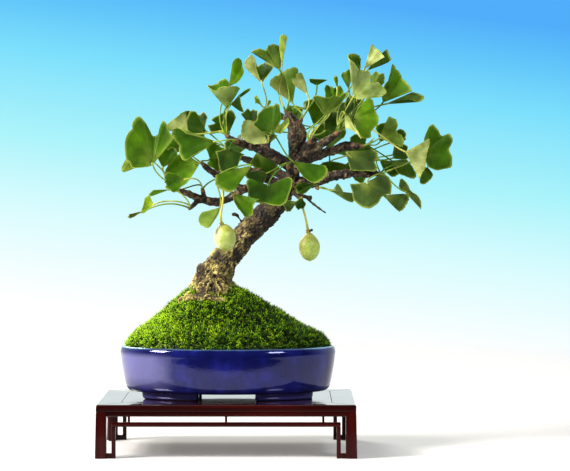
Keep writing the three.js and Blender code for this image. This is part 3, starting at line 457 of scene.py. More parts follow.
feet = [pot_foot(way, front) for way in (-1, 1) for front in (-1, 1)]
pot = new_mesh("pot_glazed", *together([pot_shell()] + feet))
hole_out, hole_radius = 32, 5
hole_turns = np.linspace(0, 2 * math.pi, 32, endpoint=False)
drills = []
for out in (-hole_out, hole_out):
    x, y = out + hole_radius * np.cos(hole_turns), hole_radius * np.sin(hole_turns)
    rings = [np.stack([x, y, 0 * x + z], -1) for z in (pot_base - 6, pot_base + 9)]
    drills.append(new_mesh("drill", *skinned(np.stack(rings))))
pot.data.materials.append(glaze_material())
cut_from(pot, drills)
pot.data.shade_smooth()
pot.data.set_sharp_from_angle(angle=math.radians(50))
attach(pot, "root")
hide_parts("pot")


# Under the moss is a gritty akadama and pumice soil, held in over the drain holes by two squares
# of black plastic net. Both keep their solids.
def speckle_group():
    """Node group: grains of a given size, with a tone for each grain and a rounded height."""
    group, given = new_group("speckle", {"Vector": "Vector", "Scale": "Float"},
                             {"Tone": "Float", "Height": "Float"})
    cells = add_node(group, "TexVoronoi", {"Vector": given[0], "Scale": given[1]})
    tone = add_node(group, "SeparateColor", {0: cells.outputs["Color"]}).outputs[0]
    return put_out(group, tone, maths(group, "SUBTRACT", 1.0, cells.outputs["Distance"]))


speckle = speckle_group()


def gritty(name, scale, roughness, relief_depth, *stops):
    """A matt material of small grains, coloured by the stops."""
    made, tree, output = new_material(name)
    place = add_node(tree, "TexCoord").outputs["Object"]
    grains_in = add_node(tree, "Group", {}, node_tree=speckle)
    tree.links.new(place, grains_in.inputs["Vector"])
    grains_in.inputs["Scale"].default_value = scale
    dust = noise(tree, place, scale * 2.3, 4)
    tone = maths(tree, "MULTIPLY", grains_in.outputs["Tone"], 0.6)
    tone = maths(tree, "MULTIPLY_ADD", dust, 0.5, tone)
    relief = relief_of(tree, grains_in.outputs["Height"], 0.8, relief_depth)
    rough = mapped(tree, dust, 0, 1, roughness - 0.15, roughness)
    finish = add_node(tree, "BsdfPrincipled", {
        "Base Color": ramp(tree, tone, *stops), "Roughness": rough, "Normal": relief})
    tree.links.new(finish.outputs[0], output.inputs["Surface"])
    return made


def dressed(node, material):
    """Gives a solid that stays its finish."""
    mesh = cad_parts[node].data
    mesh.materials.clear()
    mesh.materials.append(material)


# The pot's underside is bare stoneware, which the glaze was wiped off before the firing.
normals, middles = (np.empty(len(pot.data.polygons) * 3, np.float32) for _ in range(2))
pot.data.polygons.foreach_get("normal", normals)
pot.data.polygons.foreach_get("center", middles)
bare = (normals[2::3] < -0.9) & (middles[2::3] < (pot_base + 0.2) / 1000)
pot.data.materials.append(gritty("bare_stoneware", 1800, 0.95, 0.0001, (0.1, "2a211a"), (0.9, "5c4a3a")))
pot.data.polygons.foreach_set("material_index", bare.astype(np.int32))
dressed("soil", gritty("gritty_soil", 450, 1.0, 0.0008, (0.1, "2c1d12"), (0.9, "9a6a40"), (0.5, "5c3d24")))
net_plastic = gritty("net_plastic", 2500, 0.6, 0.00005, (0.1, "121412"), (0.9, "2a2f2b"))
for side in ("left", "right"):
    dressed("drain_net_" + side, net_plastic)


# Moss covers the mound from the trunk to the lip: a felt of old growth, and on it a close pile
# of living shoots, each a short stem with narrow pointed leaves. It was laid in tufts by hand.
mound_peak, mound_high, moss_thick, trunk_place, trunk_clear = -12.0, 50.0, 4.6, -11, 12
shoots, shoot_leaves, golden_angle = 12600, 6, 2.399963


def scatter(cells, seed):
    """A random number from 0 to 1 for each row of three whole numbers: the sum of the numbers
    times large primes, with its bits mixed twice."""
    mixed = (cells @ np.array([73856093, 19349663, 83492791]) + seed * 2971215073) & 0xFFFFFFFF
    mixed = ((mixed ^ (mixed >> 16)) * 0x45D9F3B) & 0xFFFFFFFF
    mixed = ((mixed ^ (mixed >> 16)) * 0x45D9F3B) & 0xFFFFFFFF
    return (mixed ^ (mixed >> 16)) / 0xFFFFFFFF


def lumps(points, seed=0):
    """Smooth random heights from -1 to 1, one unit apart: a random number at each corner of a
    lattice, blended between the eight corners round a point by 3t² - 2t³ along each axis."""
    cell = np.floor(points).astype(np.int64)
    t = points - cell
    t = t * t * (3 - 2 * t)
    total = np.zeros(len(points))
    for corner in np.ndindex(2, 2, 2):
        total += np.prod(np.where(corner, t, 1 - t), axis=1) * scatter(cell + np.array(corner), seed)
    return 2 * total - 1


def mound(share, turn, lower, inset=0.3):
    """Point of the mound: share 0 is its peak under the trunk and 1 the pot's wall. Its height
    falls by a power of the share, fuller in front, with low cushions and a shoulder by the wall."""
    rim_x = (half_long - pot_wall - inset) * np.cos(turn)
    rim_y = (half_deep - pot_wall - inset) * np.sin(turn)
    cushions = 0.9 * np.sin(3 * turn + 9 * share) * np.sin(2 * math.pi * share) * (1 - share)
    edge = np.maximum(0, 1 - share)
    shoulder = 2.0 * np.clip((share - 0.66) / 0.22, 0, 1) ** 2 * np.minimum(1, edge / 0.05) ** 0.5
    full = 15 * share * edge ** 2 * np.maximum(0, -np.sin(turn))
    z = pot_rim - 0.6 + mound_high * edge ** 0.88 + shoulder + full + cushions - lower
    return np.stack([mound_peak * (1 - share) + rim_x * share, rim_y * share, z], -1)


def mound_out(share, turn):
    """Direction out of the mound: the cross product of its slopes along the share and the turn."""
    step = 1e-3
    down = mound(share + step, turn, 0) - mound(share - step, turn, 0)
    round_it = mound(share, turn + step, 0) - mound(share, turn - step, 0)
    out = np.cross(down, round_it)
    return out / np.linalg.norm(out, axis=-1, keepdims=True)


def moss_felt():
    """Closed shell: the mound lowered under the shoots, turned in at the wall, and back up inside."""
    turns = np.linspace(0, 2 * math.pi, 150, endpoint=False)
    shares = np.linspace(1, 0.03, 46)
    outer = mound(*np.meshgrid(shares, turns, indexing="ij"), 1.0)
    rough = lumps(outer.reshape(-1, 3) / 2.2, 5).reshape(outer.shape[:2]) * 0.45
    outer[..., 2] += rough
    inner = mound(*np.meshgrid(shares[::-1], turns, indexing="ij"), moss_thick - 0.1, 3.4)
    foot = [oval(pot_wall + 0.4, pot_rim - 5.4, turns), oval(pot_wall + 3.2, pot_rim - 5.4, turns)]
    return skinned(np.concatenate([inner, foot[1], foot[0], outer]))


def moss_shoots(first, count, total, seed):
    """Shoots spread evenly by the golden angle, share by the square root of their number. Each has
    six leaves, thin three-sided spikes that lean out less the higher they stand on the stem. Also
    gives each point's glow, higher at the tips and painted higher on the left side as painted light
    from the lamp, and which shoots are dry."""
    dice = np.random.default_rng(seed)
    number = np.arange(first, first + count)
    share = np.clip(np.sqrt((number + 0.5) / total) + dice.normal(0, 0.004, count), 0.05, 1.012)
    turn = number * golden_angle + dice.normal(0, 0.012, count)
    root, out = mound(share, turn, 0), mound_out(share, turn)
    outside = np.hypot(root[:, 0] - trunk_place, root[:, 1]) > trunk_clear
    share, turn, root, out = share[outside], turn[outside], root[outside], out[outside]
    count = len(root)
    out = out + dice.normal(0, 0.2, (count, 3)) + (0, 0, 0.2)
    out /= np.linalg.norm(out, axis=1, keepdims=True)
    side = np.cross(out, (0.31, 0.93, 0.2))
    side /= np.linalg.norm(side, axis=1, keepdims=True)
    other = np.cross(out, side)
    tall = 1.16 + 0.45 * lumps(root / 4, 3) + dice.uniform(-0.35, 0.6, count)
    leaf = np.arange(shoot_leaves)
    angle = leaf * 2.4 + dice.uniform(0, 6.28, (count, 1))
    lean = np.radians(62 - 9 * leaf + dice.normal(0, 7, (count, shoot_leaves)))
    flat = side[:, None] * np.cos(angle)[..., None] + other[:, None] * np.sin(angle)[..., None]
    along = out[:, None] * np.cos(lean)[..., None] + flat * np.sin(lean)[..., None]
    wide = np.cross(out[:, None], flat)
    start = (root - 1.1 * out)[:, None] + out[:, None] * (0.22 * leaf * tall[:, None])[..., None]
    long = (1.75 * tall[:, None] * dice.uniform(0.8, 1.15, (count, shoot_leaves)))[..., None]
    back = np.cross(along, wide)
    points = np.stack([start + wide * 0.42 + back * 0.08, start - wide * 0.42 + back * 0.08,
                       start - back * 0.24, start + along * long], 2)
    corner = (np.arange(count * shoot_leaves) * 4)[:, None, None]
    faces = corner + np.array([(0, 3, 1), (1, 3, 2), (2, 3, 0), (0, 1, 2)])
    # Painted light: shoots on the left, where the lamp falls, are made brighter in colour.
    painted_left_light = 0.34 * np.clip(-(root[:, 0] + 12) / 38, -0.75, 1)
    bright = np.clip(0.38 + painted_left_light + 0.28 * lumps(root / 7, 9) + dice.normal(0, 0.52, count), 0, 1)
    glow = np.stack([0.03 + 0.1 * bright] * 3 + [0.15 + 1.15 * bright], -1)
    dry = (dice.uniform(0, 1, count) < 0.003 + 0.012 * (lumps(root / 12, 21) > 0.45)).astype(float)
    glow = np.broadcast_to(glow[:, None], (count, shoot_leaves, 4)).ravel()
    dry = np.broadcast_to(dry[:, None, None], (count, shoot_leaves, 4)).ravel()
    return points.reshape(-1, 3), faces.reshape(-1, 3), glow, dry


def moss_material():
    """Bright green at the leaf tips, dark between them, with yellower and darker tufts."""
    made, tree, output = new_material("moss_green")
    place = add_node(tree, "TexCoord").outputs["Object"]
    glow = add_node(tree, "Attribute", {}, attribute_name="glow").outputs["Fac"]
    dry = add_node(tree, "Attribute", {}, attribute_name="dry").outputs["Fac"]
    tufts = noise(tree, place, 120, 3)
    fine = noise(tree, place, 1500, 2)
    value = maths(tree, "MULTIPLY", glow, maths(tree, "MULTIPLY_ADD", tufts, 0.7, 0.65))
    green = ramp(tree, value, (0.02, "081400"), (0.95, "c8ee14"), (0.3, "2a5400"), (0.6, "6eac00"))
    colour = blended(tree, dry, green, linear("8a8434"))
    relief = relief_of(tree, fine, 0.5, 0.0002)
    rough = mapped(tree, fine, 0, 1, 0.36, 0.66)
    leaf = add_node(tree, "BsdfPrincipled", {
        "Base Color": colour, "Roughness": rough, "Normal": relief, "IOR": 1.32})
    through_it = add_node(tree, "BsdfTranslucent", {"Color": colour})
    mixed = add_node(tree, "MixShader", {0: 0.25, 1: leaf.outputs[0], 2: through_it.outputs[0]})
    tree.links.new(mixed.outputs[0], output.inputs["Surface"])
    return made


def marked(piece, **values):
    """Stores one number for each point of a mesh under each name."""
    for name, numbers in values.items():
        kept = piece.data.attributes.new(name, "FLOAT", "POINT")
        kept.data.foreach_set("value", np.asarray(numbers, np.float32).ravel())


moss_green = moss_material()
felt = new_mesh("moss_felt", *moss_felt())
marked(felt, glow=np.full(len(felt.data.vertices), 0.12), dry=np.zeros(len(felt.data.vertices)))
moss_pieces = [felt]
for number, name in enumerate(("moss_shoots_inner", "moss_shoots_outer")):
    points, faces, glow, dry = moss_shoots(number * shoots // 2, shoots // 2, shoots, 11 + number)
    pile = new_mesh(name, points, faces)
    marked(pile, glow=glow, dry=dry)
    moss_pieces.append(pile)
for piece in moss_pieces:
    piece.data.materials.append(moss_green)
    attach(piece, "root")
    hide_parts("moss")


# Trunk, roots, branches and spurs are one living piece of wood. The old trunk is rough with
# flaking plates over deep cracks, the branches are darker and finer, and each leaf scar has left
# a ring on the short spurs. It is grown as joined limbs and then barked.
# Each limb's points are x, y, z and radius, from its foot to its tip.
trunk_line = [
    (-11, 1, 99, 16.4), (-11, 0, 106, 17), (-10, 0, 112, 16.4), (-9.6, 0, 117, 14.4),
    (-8.6, 0, 121, 13), (-5.8, 0, 126.3, 11.2), (-1.8, 0, 132.3, 9.8), (3.6, 0, 138.5, 8.6),
    (9, 0, 145.8, 8.7), (15.6, 0, 153.2, 9), (23.4, 0, 160.4, 9), (30.4, 0, 167.6, 8.7),
    (36.2, 0, 174.8, 7.6), (41, 0, 182.5, 6.4), (44.6, 1, 190, 5.6), (45.4, 2, 198, 4.6),
    (45.2, 2, 205.5, 3.4), (46.6, 1.5, 211.5, 4.8), (48.2, 1, 217.5, 6.4), (46.8, 0.5, 223.8, 5.6),
    (43.4, 0, 229, 4.2), (41.2, 0, 233, 3.2),
]
root_lines = [
    [(-14, -4, 110, 7), (-22, -6, 109.4, 4.6), (-29, -8, 104, 3.6), (-36, -11, 92, 2.6),
     (-42, -14, 80, 1.6)],
    [(-16, 4, 107, 7), (-27, 9, 103, 4.8), (-35, 14, 94, 3.4), (-42, 18, 84, 2)],
    [(-8, -6, 106, 7), (-6, -15, 99, 4.6), (-3, -22, 88, 3), (0, -28, 79, 2)],
    [(-4, 0, 109, 7), (4.4, 1, 109.2, 5), (12, 4, 101, 3.6), (26, 9, 83, 2)],
    [(-10, 6, 108, 7), (-12, 16, 102, 4.4), (-14, 25, 91, 3), (-16, 31, 82, 2)],
    [(-10, -2, 119, 8), (-15.8, -3, 123.6, 6), (-18, -3.5, 126.8, 4.4), (-19, -3.7, 129.2, 2.4)],
    [(-34, -9, 103.6, 2.0), (-24, -14.5, 106.2, 2.6), (-13, -18, 106, 2.6), (-3, -18, 104.6, 2.0),
     (5, -14, 101.6, 1.4)],
]
branch_lines = [
    [(46, 1, 195, 4.2), (38, -1, 201, 3.9), (30, -3, 205.5, 3.6), (22, -5, 209, 3.3), (13, -7, 212, 2.9),
     (6, -8, 214, 2.3), (0.5, -7, 217.6, 1.7)],
    [(40, 2, 182, 3.6), (30, 8, 187, 3.2), (19, 13, 193, 2.9), (8, 14, 193.5, 2.6), (-3, 12, 190.5, 2.4),
     (-11, 9, 193, 2.3), (-17, 7, 198, 1.9)],
    [(34, 3, 173, 3.4), (23, 9, 180, 3.1), (13, 11, 182, 2.9), (5, 10, 177, 2.8), (-4, 8, 172.8, 2.7),
     (-12, 7, 172.5, 2.9), (-20, 6, 174.3, 2.6), (-27, 5, 177.5, 2.2), (-34, 4, 180, 1.7)],
    [(36, -3, 177, 3), (28, -12, 178.5, 2.6), (16, -19, 181, 2.3), (6, -24, 183.5, 2),
     (-3, -27, 185.5, 1.6)],
    [(42, 0, 183, 4.8), (52, -1, 184.5, 4), (62.5, -2, 186.8, 3.6), (73, -3, 190.2, 3.3),
     (86, -4, 192.3, 3.1), (97, -5, 192.4, 2.9), (104.5, -6, 191.6, 2.2)],
    [(47, 1, 197, 4.4), (53, 1, 200.5, 4), (61, 0, 204.4, 3.5), (72.5, -2, 207.8, 3.2),
     (83, -4, 211.4, 2.9), (91.5, -5, 210.8, 2.1)],
    [(50, 0, 202, 3.6), (57, -4, 207.5, 3.4), (64, -7, 212, 3.1), (72, -9, 217, 2.3)],
    [(47, 2, 203, 3.6), (54, 15, 210, 3), (60, 29, 216, 2.5), (64, 40, 221, 1.8)],
    [(43, 3, 187, 3.8), (32, 18, 194, 3.1), (17, 33, 200, 2.6), (4, 44, 205, 1.8)],
    [(49, 1, 186, 3.6), (64, 15, 189, 3.1), (80, 30, 193, 2.6), (92, 40, 197, 1.8)],
]
twig_lines = [
    [(24, -4, 208, 2), (24.5, 4, 221, 1.7)],
    [(46, -3, 181, 1.8), (54.5, -6, 175.4, 1.4), (58.6, -6, 175.4, 1.5)],
    [(54, -6, 175.4, 0.9), (61, -7, 169.6, 0.8), (68, -8, 164.6, 0.7)],
    [(10.5, -3, 156.5, 1.2), (7.8, -5.5, 161, 0.8), (5.6, -6.2, 163.4, 1.5), (2.6, -6.4, 163.8, 1.1)],
]
# A spray of leaves: where its spur leaves the wood, the spur's tip, a tone for each leaf, and the
# leaves. A leaf is the x, y, z of its blade's foot, the heading of its midrib in the front view
# (0 right, 90 up), its lean to the front, its roll about the midrib (0 with the upper face to
# the front), size, half spread, wrap into a cone, and the depth of its notch. A row of six is a
# leaf with a reading below: its y, lean, roll, half spread, wrap and notch.
sprays = {
    "left_low": ((-20, 6, 174), (-25.6, 1, 168.6), "ypw", [
        (-5, 12, 30, 38, 14, 0.05), (-4, 4, 76, 14, 6, 0),
        (-58.5, -6, 166, 204, 6, 50, 11.5, 16, 8, 0)]),
    "left_knob": ((-16.5, 6, 174), (-17.6, 4, 179.8), "pdm", [
        (-29, -11, 188, 195, 14, 8, 15.5, 38, 16, 0.1), (-40, 15, 182, 96, 0, 72, 18.5, 16, 6, 0),
        (-6.6, 16, 193, 100, -14, 0, 13, 46, 8, 0.1)]),
    "left_end": ((-27, 5, 177.5), (-34.4, 4, 180.2), "bym", [
        (-8, 12, 0, 62, 6, 0.4), (-4, 0, 172, 22, 8, 0.1), (-46, 9, 196, 74, 2, 12, 16, 44, 10, 0.15)]),
    "left_middle": ((-11, 9, 193), (-17.4, 7, 198.4), "lmm", [
        (-2, 12, 4, 32, 8, 0.2), (-13, 16, 202, 62, -12, 10, 13, 48, 10, 0.1),
        (-28, 14, 207, 136, -2, -6, 22, 46, 10, 0.25)]),
    "left_upper_bud": ((9, -8, 213), (6.6, -12, 213.8), "md", [
        (-17, 8, -12, 28, 10, 0.12), (-20, 16, 0, 42, 10, 0.12)]),
    "left_upper_end": ((6, -8, 214), (0.3, -7, 217.8), "dhdkmdl", [
        (-9, 6, 0, 48, 10, 0.22), (-7, 0, 175, 26, 14, 0.3), (-11, 4, 0, 40, 12, 0.15),
        (-4, 36, 180, 62, 42, 0.1), (-4, 0, 84, 18, 6, 0), (-8, 2, 0, 26, 8, 0),
        (4, 2, 8, 20, 6, 0.06)]),
    "middle_spur": ((27, -3, 207), (28.5, -3, 215.5), "hmydm", [
        (-14, 5, 176, 36, 8, 0.06), (-17, 8, 0, 44, 8, 0.08), (-13, 6, 174, 26, 8, 0),
        (17, -7, 224, 98, -4, 0, 13, 40, 8, 0.1), (-16, 20, -4, 27, 6, 0.05)]),
    "middle_twig": ((24.5, 4, 221), (25.3, 6, 235.8), "hyy", [
        (-2, -26, 0, 60, 42, 0.12), (24, 5, 238.5, 127, 0, 60, 9, 16, 8, 0),
        (27, 6, 237.5, 70, 0, 20, 6, 18, 8, 0)]),
    "top": ((44.3, 0, 227), (40.8, 0, 234), "gym", [
        (6, 2, 176, 38, 10, 0.36), (7, -4, 150, 12, 10, 0),
        (36, 16, 246, 82, -16, 8, 12, 40, 12, 0.2)]),
    "top_right": ((47.6, 1, 219), (50.6, 0, 228.4), "chd", [
        (-6, 0, 0, 34, 34, 0.06), (-2, 4, 176, 20, 12, 0), (12, -10, 40, 44, 10, 0.1)]),
    "front_bud": ((56, -4, 207), (56.6, -10, 213.6), "gdyk", [
        (-12, 32, 180, 60, 40, 0.1), (67, 6, 221, 50, -10, 4, 17, 42, 10, 0.1),
        (76, -2, 251, 98, 0, 40, 9, 16, 8, 0.3), (72, 2, 236, 84, -8, 0, 18, 40, 12, 0.15)]),
    "right_knob": ((70, -8.6, 215.6), (74.6, -9.6, 219.4), "klhhm", [
        (-15, 8, 174, 44, 8, 0.3), (-21, 12, 6, 66, 10, 0.1), (-24, 8, 120, 17, 12, 0),
        (-17, 6, 174, 42, 6, 0.03), (88, -11, 260, 84, 0, 10, 14, 22, 8, 0.05)]),
    "right_high": ((72, -9, 216), (77, -3, 221), "hdbogdm", [
        (-8, 4, 174, 24, 14, 0.04), (-1, -6, 0, 20, 8, 0.25), (-6, 6, 0, 27, 10, 0.1),
        (-9, 4, 176, 11, 8, 0), (99, 4, 250, 58, -8, 174, 15, 36, 10, 0.1),
        (82, -3, 232, 62, 0, 0, 12.5, 32, 8, 0.1), (84, 2, 251, 100, -4, 170, 13, 26, 10, 0.1)]),
    "right_upper": ((83, -4, 211.4), (92, -5, 210.9), "gom", [
        (1, -6, 176, 52, 8, 0.15), (5, -4, 0, 30, 8, 0.1), (106, 9, 214, 62, -6, 8, 14, 42, 10, 0.2)]),
    "right_low": ((97, -5, 192.4), (105, -6, 191.8), "ooomdd", [
        (-14, 16, 172, 50, 8, 0.12), (-1, -2, 174, 36, 8, 0.15), (-4, 4, 108, 15, 6, 0),
        (-7, 6, 0, 64, 6, 0.14), (-3, 4, 0, 36, 8, 0.05), (10, -8, 0, 34, 8, 0.1)]),
    "right_middle": ((86, -4, 192.4), (86.6, -9, 197), "oe", [
        (-12, 12, 174, 36, 6, 0.1), (85, 5, 197, 184, -8, 0, 21, 24, 6, 0)]),
    "right_under": ((61, -3, 185), (62, -8, 182.4), "eem", [
        (-5, 2, 174, 28, 8, 0.1), (-6, 4, 176, 30, 6, 0), (61, -10, 185, 200, 2, 0, 15, 24, 6, 0.05)]),
    "fruit_right_spur": ((45, -3, 180), (50.5, -11.5, 174.6), "od", [
        (47.5, -14, 172.5, 208, 10, 174, 9.5, 42, 8, 0.05), (51, -15, 176, 262, 4, 0, 9, 34, 8, 0.05)]),
    "front_low": ((6, -24, 183.5), (-3.2, -27.2, 185.8), "pbb", [
        (-36, 12, 174, 36, 10, 0.1), (-37, 16, 0, 38, 8, 0.08), (-38, 16, 12, 44, 18, 0.12)]),
    "front_trunk": ((44, -3, 192), (42, -9, 196.4), "md", [
        (-28, 30, 0, 86, 4, 0.14), (2, -6, 0, 36, 8, 0.1)]),
    "back_top_middle": ((54, 15, 210), (49, 20, 217), "mmm", [
        (60, 25, 226, 66, -12, 0, 20, 50, 10, 0.2), (43, 27, 231, 76, -12, 0, 9, 46, 10, 0.25),
        (34, 24, 222, 146, -10, 20, 18, 50, 10, 0.15)]),
    "back_left_middle": ((32, 18, 194), (30, 23, 200), "odd", [
        (12, 0, 0, 26, 8, 0.1), (14, 27, 211, 188, -10, 30, 18, 40, 10, 0.2),
        (27, 38, 212, 112, -40, 30, 19, 54, 10, 0.2)]),
    "back_right_middle": ((64, 15, 189), (70, 19, 196), "mmm", [
        (84, 16, 205, 32, -8, 0, 18, 50, 10, 0.2), (71, 23, 209, 92, -16, 0, 20, 52, 10, 0.2),
        (82, 30, 198, 340, -26, -30, 19, 54, 10, 0.2)]),
}
